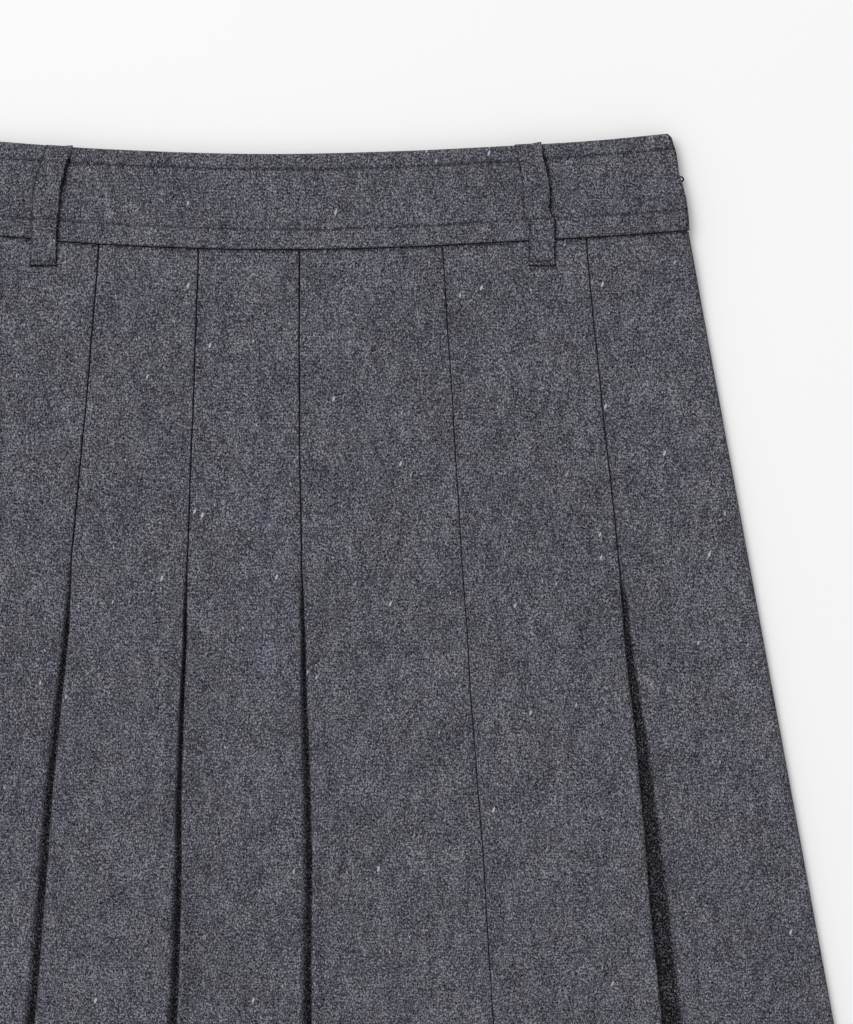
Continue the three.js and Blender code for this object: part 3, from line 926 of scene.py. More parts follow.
@dataclass(frozen=True)
class Fold:
    """How the cloth is folded at the seams, in millimetres."""

    cloth: float = 1.2
    gap: float = 0.3
    fold_gap: float = 0.3
    nose: float = 0.8
    open_nose: float = 1.6
    top_pleat: float = 10.0
    hem_pleat: float = 28.0
    follows: float = 0.75  # how far the return under a fold follows the fold's lift
    parts_over: float = 32.0
    stitch: float = 2.7
    # where the painted shade on a fold's top starts, and how far it takes to grow
    flank_from: float = 285.0
    flank_over: float = 70.0
    # painted shade: under a fold's nose, along a stitched line, and where a side rounds down
    nose_dark: float = 0.22
    open_nose_dark: float = 0.95
    seam_dark: float = 0.14
    side_shade: float = 0.55
    side_shade_turn: float = math.radians(70.0)

    @property
    def stack(self) -> float:
        """The height of a pressed fold."""
        return 2 * self.cloth + self.fold_gap

    @property
    def under(self) -> float:
        """How deep the cloth that runs on under a fold lies."""
        return self.stack + self.gap

    @property
    def layers(self) -> float:
        """The height of the body's front and back together."""
        return self.under + 2 * self.cloth + self.gap

    def state(self, seam: Seam, level: np.ndarray) -> dict[str, np.ndarray]:
        """What a seam is like at each level.

        Args:
            seam: The seam.
            level: Distances down from the waist.

        Returns:
            The pleat's depth, the dip's width, the fold's lift, how far its cloth has parted, how its
            painted seam shade beats with the stitches, and how dark the painted shade on its flank is, as
            columns.
        """
        down = np.clip((level - PATTERN.release) / (PATTERN.length - PATTERN.release), 0.0, 1.0)
        full, parted = self.hem_pleat, smooth((level - PATTERN.release) / self.parts_over)
        if seam.faces is Facing.OPEN:
            full, parted = self.top_pleat, np.zeros_like(level)
        state = {
            "pleat": self.top_pleat + (full - self.top_pleat) * down,
            "valley": Curve(OPEN_LEVELS, seam.widths)(level),
            "lift": seam.lift * np.clip((level - PATTERN.release) / seam.lifts_over, 0.0, 1.0),
            "parted": parted,
            # the beat of the painted shade along a stitched line, one to each stitch
            "stitches": 0.7 + 0.3 * np.sin(2 * np.pi * level / self.stitch) * np.sin(level / 11.0),
            "flank": seam.flank * smooth((level - self.flank_from) / self.flank_over),
        }
        return {name: value[:, None] for name, value in state.items()}

    def folded(self, state: dict[str, np.ndarray]) -> np.ndarray:
        """The section of a pressed fold with its return under it.

        Args:
            state: What the seam is like at each level.

        Returns:
            For each level and point: in and depth of the outer face, the same of the inner face, shade.
            The return lies straight, the nose is half an ellipse, squarer where it is stitched, and
            the top falls back from the nose by the lift times the square of the share of the pleat
            that is left.
        """
        lift, pleat, parted = state["lift"], state["pleat"], state["parted"]
        reach = self.nose + (self.open_nose - self.nose) * parted
        nose = self.gap / 2 + reach
        opened = self.fold_gap + (1 - self.follows) * lift
        middle = self.cloth + opened / 2
        share = np.linspace(0.0, 1.0, 10)[1:][None, :] ** 1.3
        along = nose + pleat * share
        up = lift * (1 - share) ** 2
        turn = np.radians(np.linspace(180.0, 0.0, 15))[None, :]
        square = 0.45 + 0.55 * parted
        start, span = np.radians(60.0 - 35.0 * parted), math.radians(95.0)
        # painted shade on the underside of the fold's nose, and in full on the return beneath the fold
        dark = self.nose_dark * state["stitches"] * (1 - parted) + self.open_nose_dark * parted
        round_shade = smooth((turn - start) / span) * dark
        under_up = self.follows * up
        returned = spread(along, self.stack - under_up, along, self.cloth + self.fold_gap - under_up, 1.0)
        rounded = spread(
            nose - reach * np.sin(turn) ** square,
            middle - middle * np.sign(np.cos(turn)) * np.abs(np.cos(turn)) ** square - lift,
            self.gap / 2 + self.cloth - 0.1 * np.sin(turn),
            middle - (opened / 2) * np.cos(turn) - lift,
            round_shade,
        )
        # painted shade on the fold's top beside its edge, low down
        top = spread(along, -up, along, self.cloth - up, state["flank"] * (1 - share) ** 3)
        return np.concatenate([returned[:, ::-1], rounded, top], 1)

    def tucked(self, seam: Seam, state: dict[str, np.ndarray]) -> np.ndarray:
        """The section of the edge that dips and runs on under its neighbour's fold.

        Args:
            seam: The seam.
            state: What the seam is like at each level.

        Returns:
            As for a fold. The dip is steep where the seam is stitched shut and an even slope where
            the pleat is open, and the painted shade in it fades out towards its outer edge.
        """
        valley, parted = state["valley"], state["parted"]
        shift = self.cloth * np.tan(np.arctan2(self.under, valley) / 2)
        end = -(self.gap / 2 + self.nose + state["pleat"])
        run = np.linspace(0.0, 1.0, 5)[:-1][None, :]
        along = end + (self.gap / 2 - end) * run
        # painted shade in full on the underlay
        underlay = spread(along, self.under, along + shift * run, self.under + self.cloth, 1.0)
        away = np.linspace(0.0, 1.0, 20)[None, :] ** (1.6 - 0.6 * parted)
        share = 1.0 - away
        place = self.gap / 2 + away * valley
        depth = self.under * (share**12 * (1 - parted) + smooth(share) * parted)
        # painted shade in the dip: a thin beating line where it is stitched, a broad dark where the pleat
        # is open
        faded = 1.0 - smooth((away - 0.95 + seam.soft) / seam.soft)
        deepest = seam.darkness * (0.90 + 0.12 * smooth(away / 0.6))
        sewn = self.seam_dark * state["stitches"] * share**12
        dark = sewn * (1 - parted) + deepest * faded * parted
        dip = spread(place, depth, place + shift, depth + self.cloth, dark)
        return np.concatenate([underlay, dip], 1)

    def side(self, rows: int, cloth: float, layers: float, steps: int = 9) -> np.ndarray:
        """The quarter round with which a layer comes down to the side seam.

        Args:
            rows: How many levels there are.
            cloth: The wall's thickness.
            layers: The height of both layers together.
            steps: How many points go round.

        Returns:
            As for a fold.
        """
        radius = (layers - self.gap) / 2
        turn = np.radians(np.linspace(0.0, 90.0, steps))
        outer = [radius - radius * np.cos(turn), radius - radius * np.sin(turn)]
        inner = [radius - (radius - cloth) * np.cos(turn), radius - (radius - cloth) * np.sin(turn)]
        # painted shade where the layer rounds down to the side seam
        shade = self.side_shade * smooth(1.0 - turn / self.side_shade_turn)
        section = np.stack([*outer, *inner, shade], -1)
        return np.repeat(section[None], rows, 0)


FOLD = Fold()


def set_at(section: np.ndarray, x: np.ndarray, sign: int) -> np.ndarray:
    """Moves an edge's section to its seam.

    Args:
        section: The section, measured in from the seam.
        x: Where the seam lies, across, at each level.
        sign: -1 for the left edge of a piece and 1 for its right edge.

    Returns:
        The section in its place across, its points from left to right.
    """
    moved = section.copy()
    moved[..., 0] = x[:, None] - sign * section[..., 0]
    moved[..., 2] = x[:, None] - sign * section[..., 2]
    return moved if sign < 0 else moved[:, ::-1]


def with_plain(left: np.ndarray, right: np.ndarray, columns: int) -> np.ndarray:
    """Joins two edges of a piece.

    Args:
        left: The section of its left edge.
        right: The section of its right edge.
        columns: How many points lie between them.

    Returns:
        The whole section, evenly spaced across the plain stretch.
    """
    share = (np.arange(columns) + 1)[None, :, None] / (columns + 1)
    plain = left[:, -1:] + (right[:, :1] - left[:, -1:]) * share
    return np.concatenate([left, plain, right], 1)


def cut_size(outer: np.ndarray) -> tuple[tuple[float, float], float]:
    """The flat size of a panel.

    Args:
        outer: The points of its outer face.

    Returns:
        Its greatest width and length, and its area, in metres and square metres, all measured along
        the cloth round its folds.
    """
    widths = np.linalg.norm(np.diff(outer, axis=1), axis=-1).sum(1)
    rows = outer.mean(1)
    steps = np.linalg.norm(np.diff(rows, axis=0), axis=-1)
    area = ((widths[1:] + widths[:-1]) / 2 * steps).sum()
    length = steps.sum()
    return (widths.max() * MM, length * MM), area * MM * MM


@dataclass
class BodyPanels:
    """One layer of gored panels from the waistband to the hem."""

    layer: Layer
    seams: tuple[Seam, ...]
    row_step: float
    plain_columns: int
    hem_round: float = 0.5
    top_rows: tuple[float, ...] = (0.0, 0.5, 1.2)  # fine rows in the shade of the band
    band_shade: float = 0.55

    def edge(self, seam: Seam | None, sign: int, level: np.ndarray) -> np.ndarray:
        """One edge of a panel.

        Args:
            seam: The seam, or None at the side of the skirt.
            sign: -1 for the panel's left edge and 1 for its right edge.
            level: The levels of its rows.

        Returns:
            The edge's section at each level, in its place across.
        """
        if seam is None:
            section = FOLD.side(len(level), FOLD.cloth, FOLD.layers)
            return set_at(section, PATTERN.side(sign, level), sign)
        state = FOLD.state(seam, level)
        goes_under = seam.faces is (Facing.RIGHT if sign < 0 else Facing.LEFT)
        section = FOLD.tucked(seam, state) if goes_under else FOLD.folded(state)
        return set_at(section, seam.across(level), sign)

    def points(self, x: np.ndarray, level: np.ndarray, depth: np.ndarray) -> np.ndarray:
        """Puts points of a section in space.

        Args:
            x: Places across.
            level: The level of each row.
            depth: Depths in the layer, from its outer face.

        Returns:
            The points, on top for the front and underneath for the back.
        """
        level = np.broadcast_to(level[:, None], x.shape)
        y = PATTERN.height_up(x, level)
        if self.layer is Layer.FRONT:
            z = PATTERN.base(level) + FOLD.layers - depth + front_relief(x, level)
        else:
            z = PATTERN.base(level) + depth
        return np.stack([x, y, z], -1)

    def panel(self, name: str, left: Seam | None, right: Seam | None) -> tuple[bpy.types.Object, tuple]:
        """Makes one panel.

        Args:
            name: The panel's node.
            left: The seam on its left, or None at the side.
            right: The seam on its right, or None at the side.

        Returns:
            The piece and its flat size.
        """
        top = PATTERN.band + FOLD.gap + self.hem_round
        bottom = PATTERN.length - self.hem_round
        fine = top + np.array(self.top_rows)
        even = np.linspace(top + 2 * self.top_rows[-1], bottom, int((bottom - top) / self.row_step))
        level = np.concatenate([fine, even])
        section = with_plain(self.edge(left, -1, level), self.edge(right, 1, level), self.plain_columns)
        outer = self.points(section[..., 0], level, section[..., 1])
        inner = self.points(section[..., 2], level, section[..., 3])
        flat = cut_size(outer)
        # painted shade in a narrow strip just below the waistband's edge
        under_band = self.band_shade * smooth(1 - (level - top) / self.top_rows[-1])[:, None]
        shade = np.maximum(section[..., 4], under_band)
        wall = Wall(outer, inner, shade).rimmed(0, (self.hem_round,) * 2).rimmed(1, (SEAM_ROUND,) * 2)
        return wall.build(name + "_cloth"), flat

    def build(self, finishes: Finishes, rests_on: list[str]) -> list[str]:
        """Makes every panel of the layer.

        Args:
            finishes: The skirt's materials.
            rests_on: The names of what the layer lies on; not used.

        Returns:
            The names of the pieces.
        """
        edges = [None, *self.seams, None]
        names = []
        for number, (left, right) in enumerate(zip(edges, edges[1:]), 1):
            node = f"{self.layer.value}_panel_{number}"
            piece, (flat, area) = self.panel(node, left, right)
            settle(piece, finishes.flannel, "flannel", node)
            log.info("%s cut %.0f x %.0f mm, %.4f m2", node, flat[0] / MM, flat[1] / MM, area)
            names.append(piece.name)
        return names


# The middle of each belt loop: levels, and its place across at each
LOOP_LINES = {
    "left": Curve(
        (-0.4, 10.0, 20.0, 32.8, 42.0, 53.8), (-103.6, -106.7, -109.0, -110.0, -110.5, -111.0)
    ),
    "right": Curve(
        (-0.4, 10.0, 20.0, 30.5, 34.0, 42.0, 53.8), (101.9, 104.1, 105.8, 106.1, 108.1, 108.2, 108.2)
    ),
}


@dataclass(frozen=True)
class LoopShadow:
    """The painted shadow beside a belt loop's right edge, widest where the loop arches off the band."""

    line: Curve  # the middle of the loop
    edge: float = 5.7
    arch_level: float = 12.5
    arch_length: float = 5.5
    width: float = 0.7
    arch_width: float = 1.3
    dark: float = 0.8
    arch_dark: float = 0.18

    def __call__(self, x: np.ndarray, level: np.ndarray) -> np.ndarray:
        """How dark the painted shadow is.

        Args:
            x: Places across.
            level: Levels on the band.

        Returns:
            A painted shadow that starts at the loop's edge and fades out to the right.
        """
        arch = bump(level - self.arch_level, self.arch_length)
        away = x - self.line(level) - self.edge
        fades = smooth(1 - away / (self.width + self.arch_width * arch)) * smooth(1.3 + away)
        return (self.dark + self.arch_dark * arch) * fades


STITCH_SHAPE = np.linspace(-1.0, 1.0, 7)  # shares of half a stitch's length
STITCH_REACH = 0.42  # half the length of a stitch's thread, for the stitch's length
STITCH_TAPER = np.sqrt(np.clip(1.05 - STITCH_SHAPE**2, 0.05, 1.0))
STITCH_SIDES = 6


@dataclass
class Waistband:
    """The two layers of the contoured waistband, with topstitching along both long edges."""

    cloth: float = 2.4
    proud: float = 0.7  # how far the front layer stands above the panels
    edge_round: float = 1.0
    seam_round: float = 0.45
    top_row: float = 7.0
    bottom_row: float = 33.2
    stitch: float = 3.1
    groove: float = 0.6
    groove_width: float = 0.6
    pull: float = 0.16  # the softer, wider hollow that the stitching draws beside its groove
    pull_width: float = 1.9
    top_fullness: float = 0.2
    low_fullness: float = 0.16
    wave: float = 0.1
    corner: float = 3.4
    rows: int = 72
    columns: dict[Layer, int] = field(default_factory=lambda: {Layer.FRONT: 480, Layer.BACK: 220})
    thread: float = 0.17
    stitch_margin: float = 3.0
    stitch_sink: float = 0.34
    stitch_proud: float = 0.13
    ends_in: float = 0.6  # how far in from the end's curve the flat of the cloth stops
    # painted shade along the band's lower edge and at its end
    edge_shade: float = 0.45
    offsets: tuple[tuple[Layer, float, float], ...] = (  # layer, drop of the top, shift of the end
        (Layer.BACK, 1.5, -0.2),
        (Layer.FRONT, 0.0, 0.0),
    )
    end_reach: Curve = Curve(
        (0.0, 4.7, 8.2, 14.5, 18.0, 22.0, 25.0, 29.0, 36.0, 42.0),
        (0.1, 0.3, 0.8, 0.6, 0.4, 1.0, 1.3, 1.5, 1.1, 0.4),
    )

    @property
    def layers(self) -> float:
        """The height of both layers together."""
        return FOLD.layers + self.proud

    def stitch_rows(self) -> tuple[tuple[float, float, float], ...]:
        """The level of each row of topstitching, its stitches' phase and how dark the painted shade at its
        holes is.
        """
        return (self.top_row, 0.0, 1.0), (self.bottom_row, 1.1, 0.62)

    def wander(self, row: float, phase: float, x: np.ndarray) -> np.ndarray:
        """The level at which a row, sewn by hand and eye, really runs."""
        return row + 0.22 * np.sin(x / 31.0 + phase) + 0.1 * np.sin(x / 7.3)

    def sunk(self, x: np.ndarray, level: np.ndarray) -> np.ndarray:
        """How far the outer face is drawn in by the stitching.

        Args:
            x: Places across.
            level: Levels on the band.

        Returns:
            A groove along each row, deepest at the needle holes, less the fullness between rows.
        """
        drawn = np.zeros_like(x)
        for row, phase, _ in self.stitch_rows():
            wander = self.wander(row, phase, x)
            holes = 0.62 + 0.38 * np.cos(2 * np.pi * x / self.stitch + phase)
            drawn += self.groove * bump(level - wander, self.groove_width) * holes
            drawn += self.pull * bump(level - wander, self.pull_width)
        above = np.clip(level / self.top_row, 0.0, 1.0)
        below = np.clip((level - self.bottom_row) / (PATTERN.band - self.bottom_row), 0.0, 1.0)
        full = self.top_fullness * np.sin(np.pi * above) + self.low_fullness * np.sin(np.pi * below)
        waves = np.sin(x / 17.0 + 0.7 * np.sin(level / 9.0)) * np.sin(level / 13.0)
        return drawn - full - self.wave * waves

    def surface(self, layer: Layer, x: np.ndarray, level: np.ndarray, depth: np.ndarray) -> np.ndarray:
        """Puts points of the band in space.

        Args:
            layer: The front or the back.
            x: Places across.
            level: Levels on the band.
            depth: Depths in the layer, from its outer face.

        Returns:
            The points, those of the outer face drawn in by the stitching.
        """
        y = PATTERN.height_up(x, level)
        fade = np.clip(1 - depth / self.cloth, 0.0, 1.0)
        depth = depth + fade * self.sunk(x, level)
        if layer is Layer.FRONT:
            return np.stack([x, y, PATTERN.base(level) + self.layers - depth], -1)
        return np.stack([x, y, PATTERN.base(level) + depth], -1)

    def holes(self, x: np.ndarray, level: np.ndarray) -> np.ndarray:
        """How dark the painted shade along the rows of stitching is.

        Args:
            x: Places across.
            level: Levels on the band.

        Returns:
            For each row a faint line of painted shade and a darker painted spot at each needle hole.
        """
        shade = np.zeros_like(x)
        for row, phase, dark in self.stitch_rows():
            hole = bump(np.sin(np.pi * x / self.stitch + phase / 2 + np.pi / 2), 0.62)
            away = level - self.wander(row, phase, x)
            shade += dark * (0.3 * bump(away, 0.45) + 0.75 * hole * bump(away, 0.7))
        return shade

    def half(self, layer: Layer, drop: float, shift: float) -> tuple[bpy.types.Object, tuple]:
        """Makes one layer of the band.

        Args:
            layer: The front or the back.
            drop: How far its top edge lies below the waist edge.
            shift: How far its right end lies out from the end's curve.

        Returns:
            The piece and its flat size.
        """
        level = np.linspace(self.edge_round, PATTERN.band - self.seam_round, self.rows)
        level = level + drop * (1 - level / PATTERN.band)
        left = set_at(FOLD.side(self.rows, self.cloth, self.layers), PATTERN.side(-1, level), -1)
        from_corner = np.clip(self.corner - level, 0.0, self.corner)
        round_off = self.corner - np.sqrt(self.corner**2 - from_corner**2)
        end = PATTERN.side(1, level) + self.end_reach(level) + shift - round_off - self.ends_in
        tip = np.zeros((self.rows, 2, 5))
        tip[:, 1, 0] = tip[:, 1, 2] = 1.0
        tip[..., 3] = self.cloth
        section = with_plain(left, set_at(tip, end, 1), self.columns[layer])
        grid = np.broadcast_to(level[:, None], section.shape[:2])
        outer = self.surface(layer, section[..., 0], grid, section[..., 1])
        inner = self.surface(layer, section[..., 2], grid, section[..., 3])
        across = section[..., 0]
        # painted shade: the stitching's holes, the lower edge, the end, and the shadows beside the front
        # belt loops
        shade = section[..., 4] + self.holes(across, grid)
        shade = shade + self.edge_shade * smooth(grid - PATTERN.band + 1.0)
        shade = shade + self.edge_shade * smooth(1 - (end[:, None] - across) / 1.1)
        if layer is Layer.FRONT:
            shade = shade + sum(LoopShadow(line)(across, grid) for line in LOOP_LINES.values())
        shade = np.clip(shade, 0.0, 1.0)
        flat = cut_size(outer)
        wall = Wall(outer, inner, shade).rimmed(0, (self.edge_round, self.seam_round), steps=5)
        wall = wall.rimmed(1, (SEAM_ROUND, self.ends_in), steps=4)
        return wall.build(f"{layer.value}_waistband_cloth"), flat

    def stitches(self, layer: Layer, skip: list[tuple[float, float]]) -> bpy.types.Object:
        """Makes the topstitching of one layer.

        Args:
            layer: The front or the back.
            skip: Stretches across, from and to, that the belt loops cover.

        Returns:
            One piece with every stitch, each a short thread that dips into its two needle holes.
        """
        parts = []
        down = -1 if layer is Layer.FRONT else 1
        for row, phase, _ in self.stitch_rows():
            left, right = (float(PATTERN.side(sign, np.array(row))) for sign in (-1, 1))
            first = math.ceil((left + self.stitch_margin) / self.stitch)
            last = math.floor((right - self.stitch_margin) / self.stitch)
            for number in range(first, last):
                middle = (number + 0.5 - phase / (2 * np.pi)) * self.stitch
                if any(low < middle < high for low, high in skip):
                    continue
                x = middle + STITCH_SHAPE * self.stitch * STITCH_REACH
                path = self.surface(layer, x, self.wander(row, phase, x), np.zeros_like(x))
                path[:, 2] += down * (self.stitch_sink * STITCH_SHAPE**4 - self.stitch_proud)
                parts.append(tube(path, self.thread * STITCH_TAPER, STITCH_SIDES))
        return joined(f"{layer.value}_waistband_stitches", parts)

    def build(
        self, finishes: Finishes, skip: dict[Layer, list[tuple[float, float]]], rests_on: list[str]
    ) -> None:
        """Makes both layers of the band and their stitching.

        Args:
            finishes: The skirt's materials.
            skip: The stretches that the belt loops cover, for each layer.
            rests_on: The names of what the front layer lies on; not used.
        """
        for layer, drop, shift in self.offsets:
            node = f"{layer.value}_waistband"
            piece, (flat, area) = self.half(layer, drop, shift)
            settle(piece, finishes.band, "band_flannel", node)
            stitches = settle(self.stitches(layer, skip[layer]), finishes.thread, "band_flannel")
            log.info("%s cut %.0f x %.0f mm, %.4f m2", node, flat[0] / MM, flat[1] / MM, area)


@dataclass
class BeltLoop:
    """One belt loop: a folded strip of flannel, stitched down across its width at both ends."""

    layer: Layer
    side: str
    across: Curve
    width: float = 12.0
    cloth: float = 1.2
    arch: float = 2.0
    top: float = -0.4
    stitched: float = 32.8
    end: float = 53.8
    step: float = 3.0
    band_layers: float = 6.4  # the height of both layers of the waistband
    rows: int = 90
    columns: int = 25
    edge_round: float = 0.5
    dome: float = 0.18
    tack_rise: float = 2.2  # how far above its end the loop is stitched down
    tack_sink: float = 0.3
    tack_width: float = 0.7
    tack_margin: float = 0.7
    tack_count: int = 5
    thread: float = 0.17
    uneven: float = 0.18
    tilt: float = 0.5  # how far the right corner of the top edge is pulled up
    top_drop: float = 0.35
    # painted shade along the loop's right and left edges, at its end and at its stitched rows
    right_dark: float = 0.97
    left_dark: float = 0.65
    tack_dark: float = 0.5

    @property
    def node(self) -> str:
        """The name of the loop's node."""
        return f"{self.layer.value}_belt_loop_{self.side}"

    @property
    def tack_levels(self) -> tuple[float, float]:
        """The levels at which the loop is stitched down."""
        return self.stitched, self.end - self.tack_rise

    def low(self, level: np.ndarray) -> np.ndarray:
        """How high the loop's underside lies.

        Args:
            level: Distances down from the waist.

        Returns:
            The plane for a back loop, and for a front one an arch over the band, stepped down below it.
        """
        if self.layer is Layer.BACK:
            return np.zeros_like(level)
        on_band = PATTERN.loop_room + self.band_layers + FOLD.gap
        on_body = PATTERN.loop_room + FOLD.layers + FOLD.gap
        arched = np.clip((level - self.top) / (self.stitched - self.top), 0.0, 1.0)
        stepped = smooth((level - PATTERN.band) / self.step)
        return on_band + (on_body - on_band) * stepped + self.arch * np.sin(np.pi * arched) ** 2

    def covers(self, level: float) -> tuple[float, float]:
        """The stretch across that the loop covers at a level."""
        middle = float(self.across(np.array(level)))
        return middle - self.width / 2 - 0.6, middle + self.width / 2 + 0.6

    def plan(self, level: np.ndarray, share: np.ndarray) -> tuple[np.ndarray, np.ndarray]:
        """Where the loop's points lie, seen from above.

        Args:
            level: The level of each point.
            share: Each column's share of the half width, from -1 on the left to 1 on the right.

        Returns:
            The places across and up. The edges are uneven, and the top edge is cut on a slant.
        """
        uneven = self.uneven * np.sin(level / 6.1 - 2.0) * np.sign(share)
        half = self.width / 2 - self.edge_round
        x = self.across(level) + share * half + uneven * np.abs(share) ** 3
        along = np.clip(level / self.end, 0.0, 1.0)
        level_with_band = PATTERN.height_up(x, level)
        level_with_loop = PATTERN.height_up(self.across(level), level)
        y = (1 - along) * level_with_band + along * level_with_loop
        y = y + self.tilt * smooth((share - 0.2) / 0.8) * smooth(1 - level / 5.0)
        return x, y - self.top_drop * smooth(1 - level / 3.0)

    def shade(self, level: np.ndarray, share: np.ndarray, held: np.ndarray) -> np.ndarray:
        """How dark the painted shade at the loop's edges is.

        Args:
            level: The level of each point.
            share: Each column's share of the half width.
            held: How firmly the stitching holds each point down.

        Returns:
            The darkest painted shade of the two long edges, the end and the rows of stitches.
        """
        right = self.right_dark * smooth((share - 0.9) / 0.1) * smooth((level - 1.5) / 4.0)
        left = self.left_dark * smooth((-share - 0.92) / 0.08)
        end = self.right_dark * smooth((level - self.end + 1.0) / 0.5)
        tacks = self.tack_dark * np.clip(held, 0.0, 1.0)
        return spread(right, left, end, tacks).max(-1)

    def build(self, finishes: Finishes, rests_on: list[str]) -> None:
        """Makes the loop and the stitches across it.

        Args:
            finishes: The skirt's materials.
            rests_on: The names of what the loop lies on; not used.
        """
        rows = np.linspace(self.top + self.edge_round, self.end - self.edge_round, self.rows)
        share = np.linspace(-1.0, 1.0, self.columns)[None, :]
        level = np.broadcast_to(rows[:, None], (self.rows, self.columns))
        x, y = self.plan(level, share)
        low = self.low(level)
        full = 1 - share**4
        held = sum(bump(level - tack, self.tack_width) for tack in self.tack_levels)
        if self.layer is Layer.FRONT:
            outer_z = low + self.cloth + self.dome * full * (1 - held) - self.tack_sink * held
            inner_z = low
        else:
            outer_z = low + 0.1 * held * full
            inner_z = low + self.cloth
        wall = Wall(spread(x, y, outer_z), spread(x, y, inner_z), self.shade(level, share, held))
        reach = (self.edge_round, self.edge_round)
        piece = wall.rimmed(0, reach, 4).rimmed(1, reach, 4).build(self.node + "_cloth")
        settle(piece, finishes.band, "band_flannel", self.node)
        stitches = settle(self.tacks(), finishes.thread, "band_flannel")

    def tacks(self) -> bpy.types.Object:
        """Makes the short rows of stitches across the loop.

        Returns:
            One piece with every stitch, each a short thread that dips at both its ends.
        """
        parts = []
        sewn = self.width - 2 * self.tack_margin
        pitch = sewn / self.tack_count
        for row in self.tack_levels:
            middle = float(self.across(np.array(row)))
            y = float(PATTERN.height_up(np.array(middle), np.array(row)))
            low = float(self.low(np.array(row)))
            sink = self.tack_sink * STITCH_SHAPE**4
            z = low + self.cloth - 0.22 - sink if self.layer is Layer.FRONT else low + 0.18 + sink
            for number in range(self.tack_count):
                offset = (number + 0.5) * pitch - sewn / 2
                path = spread(middle + offset + STITCH_SHAPE * pitch * STITCH_REACH, y, z)
                parts.append(tube(path, self.thread * STITCH_TAPER, STITCH_SIDES))
        return joined(self.node + "_stitches", parts)


@dataclass
class SideZip:
    """The closed zip inside the right side seam: the tape, and one row of closed turns of its coil."""

    top: float = 23.0
    end: float = 205.0
    inset: float = 2.0
    coil_width: float = 1.6
    pitch: float = 1.5
    wire: float = 0.22
    wire_sides: int = 5
    turn_points: int = 10
    lean: float = 0.35
    coil_half: tuple[float, float] = (0.78, 0.72)  # half the coil's width and height
    hollow_middle: float = 3.2

    def build(self, finishes: Finishes) -> None:
        """Dresses the tape and adds the coil.

        Args:
            finishes: The skirt's materials.
        """
        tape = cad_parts["side_zip"]
        tape.data.materials.clear()
        tape.data.materials.append(finishes.tape)
        middle = self.inset + self.coil_width / 2
        turn = np.linspace(0.0, 2 * np.pi, self.turn_points, endpoint=False)
        radii = np.full(self.turn_points, self.wire)
        parts = []
        for level in np.arange(self.top + 1.0, self.end - 1.0, self.pitch):
            around = level + self.lean * np.sin(turn)
            x = PATTERN.side(1, around) - middle + self.coil_half[0] * np.cos(turn)
            y = PATTERN.height_up(x, around)
            z = PATTERN.base(around) + self.hollow_middle + self.coil_half[1] * np.sin(turn)
            parts.append(tube(np.stack([x, y, z], -1), radii, self.wire_sides, closed=True))
        settle(joined("zip_coil_turns", parts), finishes.coil, "zip_tape")


@dataclass
class WaistEye:
    """The dark wire eye at the end of the waistband: two rings on a straight shank."""

    radius: float = 1.05
    wire: float = 0.35
    shank: float = 7.0
    shank_wire: float = 0.336
    sides: int = 14
    ring_points: int = 32
    shank_points: int = 8

    def build(self, finishes: Finishes) -> None:
        """Makes the eye in the node's place.

        Args:
            finishes: The skirt's materials.
        """
        low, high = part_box("waist_eye")
        ring_middle = high.x / MM - self.radius - self.wire
        centre = np.array([ring_middle, (low.y + high.y) / 2 / MM, (low.z + high.z) / 2 / MM])
        turn = np.linspace(0.0, 2 * np.pi, self.ring_points, endpoint=False)
        ring = centre + self.radius * spread(np.cos(turn), np.sin(turn), 0.0)
        wire = np.full(self.ring_points, self.wire)
        parts = [tube(ring + [away, 0, 0], wire, self.sides, closed=True) for away in (0.0, -self.shank)]
        run = np.linspace(-self.shank + self.radius, -self.radius, self.shank_points)
        straight = centre + spread(run, 0.0, 0.0)
        parts.append(tube(straight, np.full(self.shank_points, self.shank_wire), self.sides))
        settle(joined("waist_eye_wire", parts), finishes.wire, "dark_wire", "waist_eye")


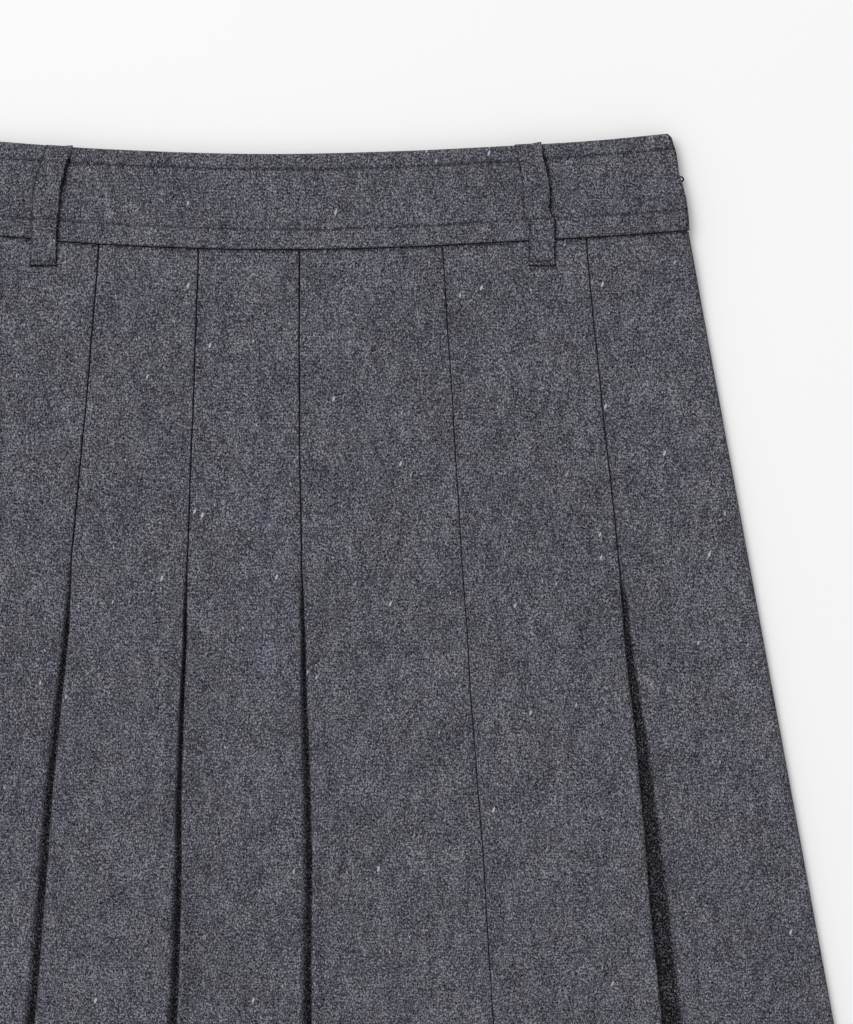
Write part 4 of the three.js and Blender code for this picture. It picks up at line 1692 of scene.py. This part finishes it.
@dataclass
class Stage:
    """The floor, the light and the camera, which looks straight down as the photo does."""

    picture_height: float = 450.6  # how much of the skirt's plane the picture's height shows
    picture_middle: tuple[float, float] = (57.4, 232.5)
    lens: float = 120.0
    sensor: float = 36.0
    key: float = 128.0
    key_place: tuple[float, float, float] = (-1.6, 1.6, 4.0)  # in metres, as the next two are
    key_size: float = 3.0
    floor_reach: float = 6.0
    floor_drop: float = 0.05  # in millimetres
    sky: float = 0.60

    def camera(self) -> None:
        """Places the camera over the middle of the picture."""
        data = bpy.data.cameras.new("camera")
        data.lens = self.lens
        data.sensor_fit = "VERTICAL"
        data.sensor_height = self.sensor
        data.sensor_width = self.sensor
        data.clip_start, data.clip_end = 0.05, 20.0
        camera = bpy.data.objects.new("camera", data)
        away = self.picture_height * self.lens / self.sensor
        x, y = self.picture_middle
        camera.location = (x * MM, y * MM, (away + FOLD.layers) * MM)
        bpy.context.scene.collection.objects.link(camera)
        bpy.context.scene.camera = camera

    def key_light(self) -> None:
        """Adds the soft square light, which faces the middle of the picture."""
        data = bpy.data.lights.new("key_light", "AREA")
        data.shape, data.size, data.energy = "SQUARE", self.key_size, self.key
        light = bpy.data.objects.new("key_light", data)
        light.location = self.key_place
        x, y = self.picture_middle
        aim = Vector((x * MM, y * MM, 0.0)) - Vector(self.key_place)
        light.rotation_euler = aim.to_track_quat("-Z", "Y").to_euler()
        bpy.context.scene.collection.objects.link(light)

    def floor(self) -> None:
        """Lays the floor just under the skirt."""
        corners = [(-1, -1), (1, -1), (1, 1), (-1, 1)]
        points = [(x * self.floor_reach, y * self.floor_reach, -self.floor_drop * MM) for x, y in corners]
        mesh = bpy.data.meshes.new("floor")
        mesh.from_pydata(points, [], [(0, 1, 2, 3)])
        floor = bpy.data.objects.new("floor", mesh)
        floor.data.materials.append(PaleFloor().material())
        bpy.context.scene.collection.objects.link(floor)

    def build(self) -> None:
        """Makes the floor, the light, the sky and the camera."""
        self.floor()
        self.key_light()
        world = bpy.data.worlds.new("sky")
        world.use_nodes = True
        background = world.node_tree.nodes["Background"]
        background.inputs["Color"].default_value = (1.0, 1.0, 1.0, 1.0)
        background.inputs["Strength"].default_value = self.sky
        bpy.context.scene.world = world
        bpy.context.scene.view_settings.view_transform = "Standard"
        self.camera()


def main() -> None:
    """Builds the skirt from the back up and reports each piece."""
    logging.basicConfig(level=logging.INFO, format="%(name)s: %(message)s")
    finishes = Finishes()
    loops = {layer: [BeltLoop(layer, side, line) for side, line in LOOP_LINES.items()] for layer in Layer}
    Stage().build()
    for loop in loops[Layer.BACK]:
        loop.build(finishes, ["floor"])
    back = BodyPanels(Layer.BACK, BACK_SEAMS, row_step=10.0, plain_columns=10).build(finishes, ["floor"])
    front = BodyPanels(Layer.FRONT, FRONT_SEAMS, row_step=3.4, plain_columns=24).build(finishes, back)
    covered = {layer: [loop.covers(level=20.0) for loop in loops[layer]] for layer in Layer}
    Waistband().build(finishes, covered, ["back_waistband_cloth"])
    for loop in loops[Layer.FRONT]:
        loop.build(finishes, ["front_waistband_cloth", *front])
    SideZip().build(finishes)
    WaistEye().build(finishes)


if __name__ == "__main__":
    main()
